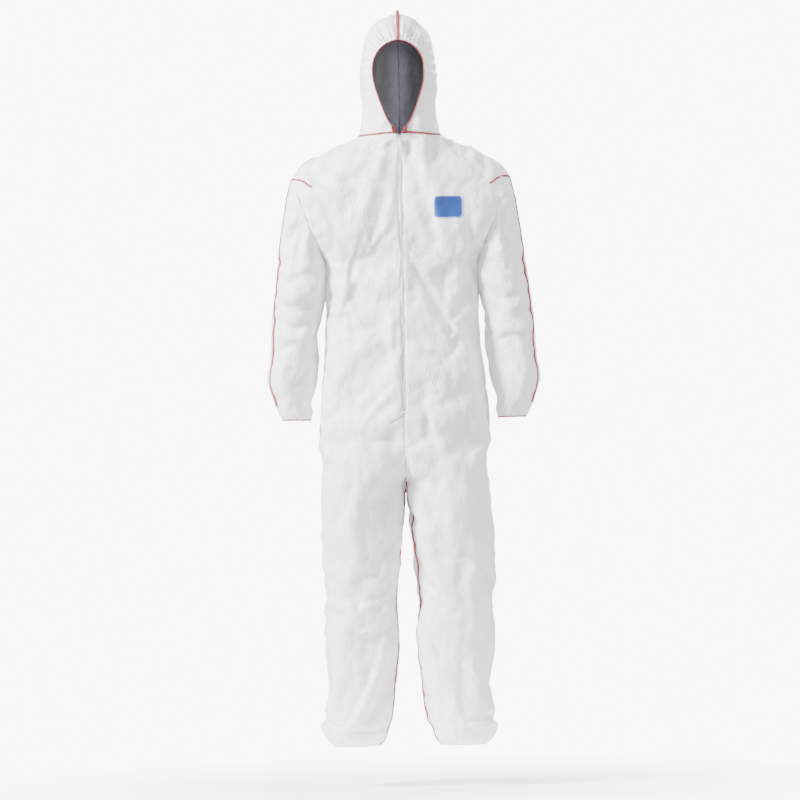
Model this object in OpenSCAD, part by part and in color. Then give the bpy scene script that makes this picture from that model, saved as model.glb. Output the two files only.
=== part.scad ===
// Hooded protective coverall: a suit of thin sheet cloth with overlocked seams,
// elastic at the face, wrists, waist and ankles, and a zip down the front.
// Millimetres. Origin: centre of the neck seam. +Z up, the front faces -Y,
// +X is the wearer's left. "Drop" is a distance below the neck seam and
// "rise" a distance above it. Each half of the suit is one surface function
// of (drop or rise, across), and every cloth node is a stretch of one.

/* [Lengths] */
// Crown of the hood above the neck seam
hood_rise = 294; // [280:1:310]
// Neck seam to crotch
body_drop = 850; // [830:5:880]
// Crotch to ankle hem
inseam_length = 646; // [600:5:700]
// Neck seam to wrist hem
sleeve_drop = 698; // [690:2:710]

/* [Widths] */
// Width at the neck seam
neck_w = 202; // [190:2:214]
// Width over the two armhole tops
shoulder_w = 536; // [520:2:550]
// Width at the armpits
chest_w = 376; // [366:2:384]
// Width at the hips
hip_w = 424; // [416:2:430]
// Roundness of the trunk's sections, 2 is an ellipse
trunk_round = 2.4; // [2.1:0.1:2.8]

/* [Openings] */
// Inner radius of the relaxed wrist elastic
wrist_r = 31; // [28:1:32]
// Inner radius of the relaxed ankle elastic
ankle_r = 47; // [43:1:48]
// Half width of the face opening
face_half_w = 63.5; // [58:0.5:66]

/* [Materials] */
// Thickness that stands for the cloth and its fine creases
cloth_t = 1.5; // [1.2:0.1:1.8]
// Radius of an overlocked seam
seam_r = 1.9; // [1.5:0.1:2.2]

/* [Zip] */
// Length of the zip
zip_length = 680; // [660:5:690]
// Travel of the slider

/* [Hidden] */
$fn = 48;

// Where the nodes that bend meet the nodes that stay rigid
hood_start = 60;       // rise where the rigid hood begins
hip_start = 715;       // drop where the trunk ends
leg_start = 905;       // drop where the rigid leg begins
sleeve_start = 345;    // drop where the rigid sleeve begins
body_gap = 0.5;        // gap between nodes of different bodies
edge_gap = 0.6;        // half the gap between two sewn edges, which the seam bridges
fork_start = 745;      // drop where the halves begin to part into legs
hem_drop = body_drop + inseam_length;
halves = 6;            // columns in each half of a panel
step = 0.01;           // for the surface normals
hair = 0.0001;         // keeps the front and back edges of a slit apart

// Armhole: a tilted plane from its top at the shoulder to the armpit
arm_top = [shoulder_w / 2, 112];
arm_pit = [chest_w / 2, 312];

// Trunk: drop, [half width, front depth, back depth]. The front depth runs straight down
// the zip, so that its slider can travel.
zip_lean = 0.052;
neck_f = 88;
function front_depth(d) = d < 700 ? neck_f + zip_lean * d : neck_f + zip_lean * 700 - (d - 700) * 0.03;
trunk = [
    [0, [neck_w / 2, 88]], [15, [124, 89]], [44, [186, 94]], [74, [238, 100]],
    [103, [262, 106]], [arm_top[1], [arm_top[0], 107]], [212, [240, 118]],
    [arm_pit[1], [arm_pit[0], 114]], [450, [187, 100]], [600, [200, 118]],
    [700, [207, 127]], [body_drop, [hip_w / 2, 119]]
];
// Legs: drop, [outer x, inner x, front depth, back depth]
legs = [
    [body_drop, [hip_w / 2, 0, 119.9, 119]], [1015, [213, 16, 104, 106]],
    [1130, [209.5, 27, 98, 100]], [1250, [209, 25, 94, 96]], [1340, [208, 34, 91, 92]],
    [1426, [212, 44, 89, 90]], [1455, [211, 55, 84, 85]], [1478, [200, 66, 74, 74]],
    [1490, [191, 75, 62, 62]], [hem_drop, [185.5, 79.5, 53.5, 53.5]]
];
ankle_x = 132.5;
// Sleeves: drop, [outer x, inner x, half depth]
sleeves = [
    [arm_top[1], [arm_top[0], 190, 62]], [132, [273, 189, 66]], [162, [280, 188, 71]],
    [220, [289, 188, 77]], [arm_pit[1], [303, arm_pit[0], 80]], [426, [318.5, 197, 72]],
    [544, [326, 206, 65]], [603, [332, 212, 61]], [650, [320, 221, 54]],
    [682, [306, 224, 42]], [sleeve_drop, [299, 227, 36]]
];
wrist_x = 263;
// Hood: rise, [half width, front depth, back depth]
hood = [
    [0, [neck_w / 2, 88, 88]], [44, [89.5, 91, 93]], [73, [88.5, 95, 103]],
    [103, [93, 99, 116]], [132, [94.3, 101, 127]], [162, [93, 100, 133]],
    [191, [88.5, 94, 133]], [220, [83, 82, 126]], [250, [70, 62, 106]],
    [275, [47, 38, 72]], [hood_rise, [7, 6, 16]]
];
// Face opening: rise, half width
face_top = 226;
face = [
    [0, 8], [34, 30], [83, 49], [120, 60], [149, face_half_w], [175, 61],
    [200, 49], [215, 32], [face_top, 0]
];

// ---- curves -------------------------------------------------------------
function segment(keys, t, i = 0) =
    i >= len(keys) - 2 || t < keys[i + 1][0] ? i : segment(keys, t, i + 1);
function slope(keys, i) =
    let (a = max(i - 1, 0), b = min(i + 1, len(keys) - 1))
    (keys[b][1] - keys[a][1]) / (keys[b][0] - keys[a][0]);
// A smooth curve through keys [[t, value], ...], where a value is a number or a vector
function through(keys, t) =
    let (
        at = min(max(t, keys[0][0]), keys[len(keys) - 1][0]),
        i = segment(keys, at),
        h = keys[i + 1][0] - keys[i][0],
        s = (at - keys[i][0]) / h,
        s2 = s * s,
        s3 = s2 * s
    )
    (2 * s3 - 3 * s2 + 1) * keys[i][1] + (s3 - 2 * s2 + s) * h * slope(keys, i)
    + (3 * s2 - 2 * s3) * keys[i + 1][1] + (s3 - s2) * h * slope(keys, i + 1);
function signed_power(v, p) = sign(v) * pow(abs(v), p);
function unit(v) = v / norm(v);
function between(a, b, count) = [for (i = [0:count - 1]) a + (b - a) * i / (count - 1)];

// Section of a tube of cloth: angle 0 is the outer side, -90 the front, 90 the back
function section(cx, rx, ry, round, angle) = [
    cx + rx * signed_power(cos(angle), 2 / round),
    ry * signed_power(sin(angle), 2 / round)
];
// Angle, from 0 to 180, at which that section crosses a given x
function angle_at(cx, rx, round, x) =
    acos(min(max(signed_power((x - cx) / rx, round / 2), -1), 1));

// ---- surfaces: the wearer's left side, across from -1 in front to 1 behind ------
function armhole_x(d) =
    arm_top[0] + (arm_pit[0] - arm_top[0]) * (d - arm_top[1]) / (arm_pit[1] - arm_top[1]);
function in_armhole(d) = d > arm_top[1] && d < arm_pit[1];
function sleeve_row(d) =
    let (v = through(sleeves, d))
    [(v[0] + v[1]) / 2, (v[0] - v[1]) / 2, v[2]];
function armhole_depth(d) =
    let (s = sleeve_row(d), q = (armhole_x(d) - s[0]) / s[1])
    s[2] * sqrt(max(1 - q * q, 0));
function trunk_width(d, depth) =
    in_armhole(d)
        ? armhole_x(d) / pow(1 - pow(min(armhole_depth(d) / depth, 0.95), trunk_round), 1 / trunk_round)
        : through(trunk, d)[0];
function fork(d) = min(max((d - fork_start) / (body_drop - fork_start), 0), 1);

// [centre x, x radius, y radius, roundness] of the body's section on one side
function body_row(d, back) =
    d < body_drop
        ? let (
            depth = back ? through(trunk, d)[1] : front_depth(d),
            w = trunk_width(d, depth),
            g = fork(d)
        )
        [g * w / (1 + g), w / (1 + g), depth, trunk_round - 0.3 * g]
        : let (v = through(legs, d))
        [(v[0] + v[1]) / 2, (v[0] - v[1]) / 2, back ? v[3] : v[2], trunk_round - 0.3];
function centre_edge(d, back) = !back && d <= zip_length + 8 ? groove_half : edge_gap;
function body_point(d, u) =
    let (
        back = u > 0,
        r = body_row(d, back),
        side = in_armhole(d) ? angle_at(r[0], r[1], r[3], armhole_x(d)) : 0,
        last = min(angle_at(r[0], r[1], r[3], centre_edge(d, back)), 179.4),
        p = section(r[0], r[1], r[2], r[3], (back ? 1 : -1) * (side + (last - side) * abs(u)))
    )
    [p[0], p[1], -d];
body = function (d, u) body_point(d, u);

// Sleeve: across runs from the outer seam at -1 and 1 to the armhole or underarm at 0
function sleeve_point(d, u) =
    let (
        r = sleeve_row(d),
        last = d < arm_pit[1] ? angle_at(r[0], r[1], 2, armhole_x(d)) : 180,
        first = edge_gap / r[2] * 57.3,
        p = section(r[0], r[1], r[2], 2, (u > 0 ? 1 : -1) * (last + (first - last) * abs(u)))
    )
    [p[0], p[1], -d];
sleeve = function (d, u) sleeve_point(d, u);

// Hood: across runs from the face opening at 0 to the back of the head at 1
hood_round = 2.2;
function hood_point(h, u) =
    let (
        v = through(hood, h),
        opening = h < face_top ? max(through(face, h), edge_gap) : edge_gap,
        first = -angle_at(0, v[0], hood_round, opening),
        last = angle_at(0, v[0], hood_round, edge_gap),
        a = first + (last - first) * u,
        p = section(0, v[0], a < 0 ? v[1] : v[2], hood_round, a)
    )
    [p[0], p[1], h];
hood_cloth = function (h, u) hood_point(h, u);

function normal(shape, d, u, ds, du) =
    unit(cross(shape(d + ds, u) - shape(d, u), shape(d, u + du) - shape(d, u)));
function nudge(u) = abs(u) > 0.5 ? -sign(u) * step : (u < 0 ? -step : step);
// Outward normal of a surface, kept outward by comparing it with the way out of the tube
function outward(shape, d, u, core) =
    let (
        n = normal(shape, d, u, step * 20, nudge(u)),
        p = shape(d, u),
        way = [p[0] - core[0], p[1] - core[1], 0]
    )
    n * way < 0 ? -n : n;
function body_core(d) = [d < fork_start ? 0 : body_row(d, false)[0], 0];
function sleeve_core(d) = [sleeve_row(d)[0], 0];
function hood_core(h) = [0, 10];

// ---- solids ---------------------------------------------------------------
// Cloth of even thickness over rows of a surface. The columns are two halves that meet
// at across 0, and the rows inside "slit" are open there. "turned" is for a surface whose
// rows and columns run the other way round, so that its faces still point outwards.
module cloth(shape, core, rows, columns, slit = [0, 0], turned = false) {
    half = len(columns) / 2;
    count = len(columns);
    total = len(rows) * count;
    outer = [for (d = rows) for (u = columns) shape(d, u)];
    inner = [
        for (i = [0:len(rows) - 1]) for (j = [0:count - 1])
            outer[i * count + j] - cloth_t * outward(shape, rows[i], columns[j], core(rows[i]))
    ];
    function open(i) = i > slit[0] && i < slit[1];
    function at(i, j) = i * count + (j == half && !open(i) ? half - 1 : j);
    function quad(a, b, c, e) = [[a, b, c], [a, c, e]];
    function wall(i, j) = quad(at(i, j), at(i, j + 1), at(i + 1, j + 1), at(i + 1, j));
    // An edge wall joins the outer face's edge from a to b to the inner face's
    function edge(a, b) = quad(a, b, total + b, total + a);
    gaps = [for (j = [0:count - 2]) if (j != half - 1) j];
    last = len(rows) - 1;
    cut = [for (i = [max(slit[0], 0):1:slit[1] - 1]) i];
    faces = concat(
        [for (i = [0:last - 1]) for (j = gaps) each wall(i, j)],
        [for (i = [0:last - 1]) for (j = gaps) for (f = wall(i, j))
            [f[2] + total, f[1] + total, f[0] + total]],
        [for (j = gaps) each edge(at(0, j + 1), at(0, j))],
        [for (j = gaps) each edge(at(last, j), at(last, j + 1))],
        [for (i = [0:last - 1]) each edge(at(i, 0), at(i + 1, 0))],
        [for (i = [0:last - 1]) each edge(at(i + 1, count - 1), at(i, count - 1))],
        [for (i = cut) each edge(at(i + 1, half - 1), at(i, half - 1))],
        [for (i = cut) each edge(at(i, half), at(i + 1, half))]
    );
    polyhedron(concat(outer, inner), turned ? [for (f = faces) [f[2], f[1], f[0]]] : faces,
        convexity = 8);
}
// Two halves of columns, each from its centre edge to the side
function both_ways(n) =
    concat([for (j = [0:n]) min(-1 + j / n, -hair)], [for (j = [0:n]) max(j / n, hair)]);

// A round cord swept along points, with "side" a direction that never runs along it
module cord(points, side, r, closed = false, sides = 6) {
    n = len(points);
    function tangent(i) = unit(
        points[closed ? (i + 1) % n : min(i + 1, n - 1)]
        - points[closed ? (i + n - 1) % n : max(i - 1, 0)]);
    rings = [
        for (i = [0:n - 1])
            let (t = tangent(i), b = unit(cross(t, side)), c = cross(b, t))
            for (k = [0:sides - 1]) points[i] + r * (cos(k * 360 / sides) * c + sin(k * 360 / sides) * b)
    ];
    ends = closed ? [] : [
        [for (k = [0:sides - 1]) k],
        [for (k = [sides - 1:-1:0]) (n - 1) * sides + k]
    ];
    walls = [
        for (i = [0:(closed ? n - 1 : n - 2)]) for (k = [0:sides - 1])
            let (a = i * sides + k, b = i * sides + (k + 1) % sides, c = (a + sides) % (n * sides),
                e = (b + sides) % (n * sides))
            each [[a, c, b], [b, c, e]]
    ];
    polyhedron(rings, concat(ends, walls), convexity = 8);
}

white = "white";
thread = "crimson";

module on_right() mirror([1, 0, 0]) children();

// Trunk cloth: closer rows over the shoulder, where the cloth lies nearly flat
module left_body_panel() {
    shoulder_rows = [0, 7, 15, 26, 38, 50, 63, 76, 90, 103, arm_top[1]];
    armhole_rows = [118, 128, 145, 168, 195, 222, 250, 275, 295, 306];
    side_rows = [arm_pit[1], 340, 380, 420, 460, 505, 550, 600, 650, 688, 689, hip_start - body_gap];
    rows = concat(shoulder_rows, armhole_rows, side_rows);
    color(white) cloth(body, function (d) body_core(d), rows, both_ways(halves),
        [len(shoulder_rows) - 1, len(shoulder_rows) + len(armhole_rows)]);
}
module left_hip_panel() {
    rows = [hip_start, 730, 748, 768, 790, 812, 832, 846, 860, 882, leg_start - body_gap];
    color(white) cloth(body, function (d) body_core(d), rows, both_ways(halves));
}
module left_leg_panel() {
    rows = [leg_start, 960, 1015, 1075, 1130, 1190, 1250, 1305, 1360, 1405, 1435, 1455, 1470,
        1482, 1490, hem_drop];
    color(white) cloth(body, function (d) body_core(d), rows, both_ways(halves));
}
module left_sleeve_head() {
    armhole_rows = [116, 124, 138, 158, 185, 215, 245, 270, 292, 305];
    rows = concat(armhole_rows, [arm_pit[1], 328, sleeve_start - body_gap]);
    color(white) cloth(sleeve, function (d) sleeve_core(d), rows, both_ways(halves),
        [-1, len(armhole_rows)], turned = true);
}
module left_sleeve() {
    rows = [sleeve_start, 400, 460, 520, 565, 603, 628, 650, 668, 684, sleeve_drop];
    color(white) cloth(sleeve, function (d) sleeve_core(d), rows, both_ways(halves), turned = true);
}
// Hood cloth is one run of columns, so its two halves join in every row
function one_way(n) = concat([for (j = [0:n]) 0.5 * j / n], [for (j = [0:n]) 0.5 + 0.5 * j / n]);
module hood_neck_left() {
    rows = [0.8, 15, 30, 45, hood_start - body_gap];
    color(white) cloth(hood_cloth, function (h) hood_core(h), rows, one_way(4), turned = true);
}
module hood_left_panel() {
    rows = [hood_start, 83, 105, 130, 150, 172, 190, 204, 215, 224, 235, 248, 262, 275, 285, hood_rise];
    color(white) cloth(hood_cloth, function (h) hood_core(h), rows, one_way(5), turned = true);
}

// ---- seams -----------------------------------------------------------------
// An overlocked seam lies on the cloth, a hair clear of it
out = seam_r + 0.3;
// Points moved sideways off their own line, at right angles to "side"
function beside(points, side, by) = [
    for (i = [0:len(points) - 1])
        let (t = points[min(i + 1, len(points) - 1)] - points[max(i - 1, 0)])
        points[i] + by * unit(cross(t, side))
];
function reversed(points) = [for (i = [len(points) - 1:-1:0]) points[i]];
function flipped(points) = [for (p = points) [-p[0], p[1], p[2]]];
// Open in front, where the zip ends, and in one piece round the back
module neck_seam() {
    half = [for (u = between(-1, 1, 15)) body_point(0, u) + [0, 0, 1.2]];
    ring = concat([for (i = [0:13]) half[i]], [[0, half[14][1], 1.2]],
        flipped([for (i = [13:-1:0]) half[i]]));
    color(thread) cord(beside(ring, [0, 0, 1], out), [0, 0, 1], seam_r);
}
function crown(h, front) =
    let (v = through(hood, h)) [0, front ? -v[1] : v[2], h];
module hood_crown_seam() {
    front = [for (h = [face_top + 4, 236, 246, 256, 266, 276, 285]) crown(h, true)];
    back = [for (h = [285, 270, 255, 235, 215, 190, 165, 140, 115, 90, hood_start + 1]) crown(h, false)];
    line = concat(front, [[0, 2, hood_rise]], back);
    color(thread) cord(beside(line, [1, 0, 0], -out), [1, 0, 0], seam_r);
}
module hood_nape_seam() {
    line = [for (h = [6, 15, 30, 45, hood_start - 1]) crown(h, false)];
    color(thread) cord(beside(line, [1, 0, 0], out), [1, 0, 0], seam_r);
}
// Edge of the face opening, moved "into" the opening
function face_point(h, into) =
    let (
        slant = (through(face, h + 0.5) - through(face, h - 0.5)),
        x = through(face, h) - into / norm([1, slant]),
        rise = h + into * slant / norm([1, slant]),
        v = through(hood, rise)
    )
    [x, -v[1] * pow(1 - pow(abs(x) / v[0], hood_round), 1 / hood_round), rise];
face_rows = [20, 34, 52, 68, 83, 102, 120, 136, 149, 162, 175, 188, 199, 207, 214, 219, 223];
function face_loop(into) =
    let (up = [for (h = face_rows) face_point(h, into)])
    concat(up, [[0, up[len(up) - 1][1], face_top - into]], flipped(reversed(up)));
module face_edge_seam() {
    color(thread) cord(face_loop(1.9), [0, 1, 0], 1.2);
}
module face_elastic() {
    color(white) cord([for (p = face_loop(1.0)) p + [0, 3.6, 0]], [0, 1, 0], 1.4);
}
// The two folded ends of the face binding, at the top of the zip
module left_neck_tab() {
    color("red") translate([13.5, -neck_f - 3.6, 11.5]) rotate([0, 28, 0])
        cube([5, 2.4, 16], center = true);
}
// Along the crest of the shoulder, from the neck seam to the armhole
module left_shoulder_seam() {
    crest = [for (d = [4, 9, 15, 24, 34, 44, 56, 68, 80, 92, 100, 106]) [through(trunk, d)[0], 0, -d]];
    color(thread) cord(beside(crest, [0, 1, 0], out + 0.4), [0, 1, 0], seam_r);
}
module left_armhole_seam() {
    drops = [114, 122, 132, 146, 164, 186, 212, 238, 262, 284, 299, 308];
    front = [for (d = drops) [armhole_x(d), -armhole_depth(d), -d]];
    back = [for (p = reversed(front)) [p[0], -p[1], p[2]]];
    line = concat([[armhole_x(111), 0, -111]], front, [[armhole_x(313), 0, -313]], back);
    across = unit([arm_pit[1] - arm_top[1], 0, arm_pit[0] - arm_top[0]]);
    color(thread) cord(beside(line, across, out), across, seam_r, closed = true);
}
module left_sleeve_seam() {
    drops = [124, 138, 158, 185, 215, 250, 285, 320, 360, 400, 440, 480, 520, 560, 590, 612, 632, 650];
    line = [for (d = drops) [through(sleeves, d)[0], 0, -d]];
    color(thread) cord(beside(line, [0, 1, 0], out), [0, 1, 0], seam_r);
}
module center_back_seam() {
    drops = [8, 30, 60, 100, 150, 200, 250, 312, 370, 420, 450, 490, 540, 600, 650, hip_start - 2];
    line = [for (d = drops) [0, through(trunk, d)[1], -d]];
    color(thread) cord(beside(line, [1, 0, 0], -out - 0.3), [1, 0, 0], seam_r);
}
// From the end of the zip, under the crotch and up to the back seam
module crotch_seam() {
    drops = [718, 735, 752, 770, 788, 804, 818, 830, 839, 845, 848.5];
    function centre(d, u) = [0, body_point(d, u)[1], -d];
    front = [for (d = drops) centre(d, -1)];
    back = reversed([for (d = drops) centre(d, 1)]);
    line = concat(front, [[0, 0, -body_drop]], back);
    color(thread) cord(beside(line, [1, 0, 0], -out), [1, 0, 0], seam_r);
}
module left_inseam() {
    drops = [leg_start + 3, 935, 975, 1015, 1060, 1105, 1150, 1200, 1250, 1300, 1350, 1400, 1440, 1462];
    line = [for (d = drops) [through(legs, d)[1], 0, -d]];
    color(thread) cord(beside(line, [0, 1, 0], -out), [0, 1, 0], seam_r);
}

// ---- elastics and hems ------------------------------------------------------
elastic_t = 1.6;
module hoop(x, drop, inner, outer, height) {
    translate([x, 0, -drop]) difference() {
        cylinder(r = outer, h = height);
        translate([0, 0, -1]) cylinder(r = inner, h = height + 2);
    }
}
module left_wrist_elastic() color(white) hoop(wrist_x, sleeve_drop, wrist_r, wrist_r + elastic_t, 10);
module left_ankle_elastic() color(white) hoop(ankle_x, hem_drop, ankle_r, ankle_r + elastic_t, 12);
module hem_ring(x, drop, r) {
    translate([x, 0, -drop]) rotate_extrude() translate([r, 0]) circle(r = 1.1);
}
module left_wrist_hem() color(thread) hem_ring(wrist_x, sleeve_drop + 1.6, wrist_r + 3.6);
module left_ankle_hem() color(white) hem_ring(ankle_x, hem_drop + 1.6, ankle_r + 3.6);
// A flat strip inside the back of the waist
module waist_elastic() {
    across = [for (j = [1:halves - 1]) j / halves];
    inset = cloth_t + 0.6;
    function strip(d, u, t) = body_point(d, u) - t * outward(body, d, u, body_core(d));
    one = [for (u = across) u];
    left = [for (t = [inset, inset + 1]) for (d = [445, 455]) for (u = one) strip(d, u, t)];
    n = len(one);
    function right(p) = [for (i = [0:len(p) - 1]) [-p[i][0], p[i][1], p[i][2]]];
    band = [for (k = [0:3])
        concat([for (i = [0:n - 1]) left[k * n + i]],
            right([for (i = [n - 1:-1:0]) left[k * n + i]]))];
    m = 2 * n;
    points = [for (k = [0:3]) each band[k]];
    // corners of the strip's section in order round it
    ring = [0, 1, 3, 2];
    walls = [for (i = [0:m - 2]) for (k = [0:3])
        let (a = ring[k] * m + i, b = ring[(k + 1) % 4] * m + i)
        each [[a, b + 1, b], [a, a + 1, b + 1]]];
    ends = [[for (k = [0:3]) ring[k] * m], [for (k = [3:-1:0]) ring[k] * m + m - 1]];
    color(white) polyhedron(points, concat(walls, ends), convexity = 6);
}

// ---- zip ----------------------------------------------------------------------
zip_top = 6;           // drop of the zip's upper end
chain_half = 2.1;      // half width of the closed teeth
groove_half = 3.9;     // half width of the slot between the cloth's two folded edges
chain_gap = 0.5;       // half the gap between the two rows of teeth
tape_w = 13;
tape_back = 2.4;       // how far behind the cloth's face the tape lies
teeth_t = 3;           // thickness of the teeth, from the tape outwards
// The zip's own frame: y outward is negative, and z runs up along its lean
module along_zip() {
    translate([0, -neck_f, 0]) rotate([-atan(zip_lean), 0, 0]) children();
}
module zip_tape(side) {
    color(white) along_zip()
        translate([side > 0 ? 1 : -1 - tape_w, tape_back, -zip_top - zip_length])
        cube([tape_w, 0.6, zip_length]);
}
module zip_teeth(side) {
    pitch = 5;
    count = floor((zip_length - 12) / pitch);
    // Teeth bite on the outer edge of the row, so the middle stays straight for the slider
    teeth = [for (i = [0:count - 1]) each [
        [chain_half - 0.5, -i * pitch], [chain_half, -i * pitch - 1],
        [chain_half, -i * pitch - 3], [chain_half - 0.5, -i * pitch - 4]]];
    profile = concat([[chain_gap, 0]], teeth, [[chain_gap, -count * pitch]]);
    color("whitesmoke") along_zip() translate([0, tape_back, -zip_top - 5])
        mirror([side > 0 ? 0 : 1, 0, 0]) rotate([90, 0, 0])
        linear_extrude(teeth_t) polygon(profile);
}
module zip_top_stop(side) {
    color("whitesmoke") along_zip()
        translate([side > 0 ? chain_gap : -chain_half, tape_back - teeth_t - 0.3, -zip_top - 4])
        cube([chain_half - chain_gap, teeth_t + 0.3, 3.5]);
}
module zip_bottom_stop() {
    color("whitesmoke") along_zip()
        translate([-2.4, tape_back - teeth_t - 0.4, -zip_top - zip_length + 1])
        cube([4.8, teeth_t + 0.4, 5]);
}
slider_at = 22;        // drop of the slider's middle at rest
hinge_y = -5.2;        // the pull's pin stands this far out of the cloth's face
hinge_up = 3;          // and this far above the slider's middle
// Two plates joined by a thin wedge between the teeth, with a bridge that holds the pull
module zip_slider() {
    plate = [6.8, 1.4, 11];
    color("whitesmoke") along_zip() translate([0, 0, -slider_at]) {
        translate([-plate[0] / 2, -2.5, -plate[2] / 2]) cube(plate);
        translate([-plate[0] / 2, 3.4, -plate[2] / 2]) cube([plate[0], 1.1, plate[2]]);
        translate([-0.25, -1.6, 1]) cube([0.5, 5.5, 4]);
        for (s = [-1, 1]) {
            translate([s * 3 - 0.4, -1.6, -plate[2] / 2]) cube([0.8, 3.4, plate[2]]);
            translate([s * 2.4 - 0.5, hinge_y - 1.2, hinge_up - 1.4]) cube([1, 4.1, 2.8]);
        }
        translate([-2.4, hinge_y, hinge_up]) rotate([0, 90, 0]) cylinder(r = 0.8, h = 4.8, $fn = 24);
    }
}
module zip_pull() {
    color("whitesmoke") along_zip() translate([0, hinge_y, -slider_at + hinge_up]) difference() {
        union() {
            translate([-1.5, 0, 0]) rotate([0, 90, 0]) cylinder(r = 2, h = 3, $fn = 32);
            translate([-1.5, -0.6, -7]) cube([3, 1.2, 7]);
            translate([-3, -0.6, -24]) cube([6, 1.2, 18]);
        }
        translate([-3, 0, 0]) rotate([0, 90, 0]) cylinder(r = 1.1, h = 6, $fn = 32);
        translate([0, 2, -19]) rotate([90, 0, 0]) cylinder(r = 1.5, h = 4, $fn = 32);
    }
}
// The tail of thread that closes the cloth below the zip
module zip_end_stitch() {
    from = [-1, -front_depth(690) - 1.6, -690];
    to = [-38, -front_depth(708) - 1.0, -708];
    color(thread) {
        cord(between(from, to, 5), [0, 1, 0], 0.8);
        translate(from + [0, -0.4, 0]) sphere(r = 1.6, $fn = 24);
    }
}

// ---- label ----------------------------------------------------------------------
label_size = [72, 56];
label_at = [115, 184];
// A plain sewn patch that follows the chest
module chest_label() {
    n = 7;
    function chest(x, d) =
        let (r = body_row(d, false), q = pow(x / r[1], r[3]))
        [x, -r[2] * pow(1 - q, 1 / r[3]), -d];
    function lifted(x, d, t) =
        let (n = unit(cross(chest(x + 1, d) - chest(x, d), chest(x, d - 1) - chest(x, d))))
        chest(x, d) + t * n;
    xs = between(label_at[0] - label_size[0] / 2, label_at[0] + label_size[0] / 2, n);
    ds = between(label_at[1] - label_size[1] / 2, label_at[1] + label_size[1] / 2, n);
    points = [for (t = [0.7, 1.5]) for (d = ds) for (x = xs) lifted(x, d, t)];
    function at(t, i, j) = t * n * n + i * n + j;
    faces = [
        for (i = [0:n - 2]) for (j = [0:n - 2]) each [
            [at(1, i, j), at(1, i, j + 1), at(1, i + 1, j + 1)],
            [at(1, i, j), at(1, i + 1, j + 1), at(1, i + 1, j)],
            [at(0, i, j), at(0, i + 1, j + 1), at(0, i, j + 1)],
            [at(0, i, j), at(0, i + 1, j), at(0, i + 1, j + 1)]],
        for (j = [0:n - 2]) each [
            [at(0, 0, j), at(0, 0, j + 1), at(1, 0, j + 1)],
            [at(0, 0, j), at(1, 0, j + 1), at(1, 0, j)],
            [at(0, n - 1, j), at(1, n - 1, j + 1), at(0, n - 1, j + 1)],
            [at(0, n - 1, j), at(1, n - 1, j), at(1, n - 1, j + 1)],
            [at(0, j, 0), at(1, j + 1, 0), at(0, j + 1, 0)],
            [at(0, j, 0), at(1, j, 0), at(1, j + 1, 0)],
            [at(0, j, n - 1), at(0, j + 1, n - 1), at(1, j + 1, n - 1)],
            [at(0, j, n - 1), at(1, j + 1, n - 1), at(1, j, n - 1)]]
    ];
    color("royalblue") polyhedron(points, faces, convexity = 4);
}

left_body_panel();
on_right() left_body_panel();  // right_body_panel
left_hip_panel();
on_right() left_hip_panel();  // right_hip_panel
left_leg_panel();
on_right() left_leg_panel();  // right_leg_panel
left_sleeve_head();
on_right() left_sleeve_head();  // right_sleeve_head
left_sleeve();
on_right() left_sleeve();  // right_sleeve
hood_neck_left();
on_right() hood_neck_left();  // hood_neck_right
hood_left_panel();
on_right() hood_left_panel();  // hood_right_panel
neck_seam();
hood_crown_seam();
hood_nape_seam();
face_edge_seam();
face_elastic();
left_neck_tab();
on_right() left_neck_tab();  // right_neck_tab
left_shoulder_seam();
on_right() left_shoulder_seam();  // right_shoulder_seam
left_armhole_seam();
on_right() left_armhole_seam();  // right_armhole_seam
left_sleeve_seam();
on_right() left_sleeve_seam();  // right_sleeve_seam
center_back_seam();
crotch_seam();
left_inseam();
on_right() left_inseam();  // right_inseam
left_wrist_elastic();
on_right() left_wrist_elastic();  // right_wrist_elastic
left_wrist_hem();
on_right() left_wrist_hem();  // right_wrist_hem
left_ankle_elastic();
on_right() left_ankle_elastic();  // right_ankle_elastic
left_ankle_hem();
on_right() left_ankle_hem();  // right_ankle_hem
waist_elastic();
zip_tape(1);  // zip_tape_left
zip_tape(-1);  // zip_tape_right
zip_teeth(1);  // zip_teeth_left
zip_teeth(-1);  // zip_teeth_right
zip_top_stop(1);  // zip_top_stop_left
zip_top_stop(-1);  // zip_top_stop_right
zip_bottom_stop();
zip_end_stitch();
zip_slider();
zip_pull();
chest_label();
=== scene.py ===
"""A hooded protective coverall of thin sheet cloth, sewn with red overlocked seams round the CAD frame."""

import math

import bpy
import numpy as np
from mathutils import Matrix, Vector, noise
from mathutils.bvhtree import BVHTree


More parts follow.
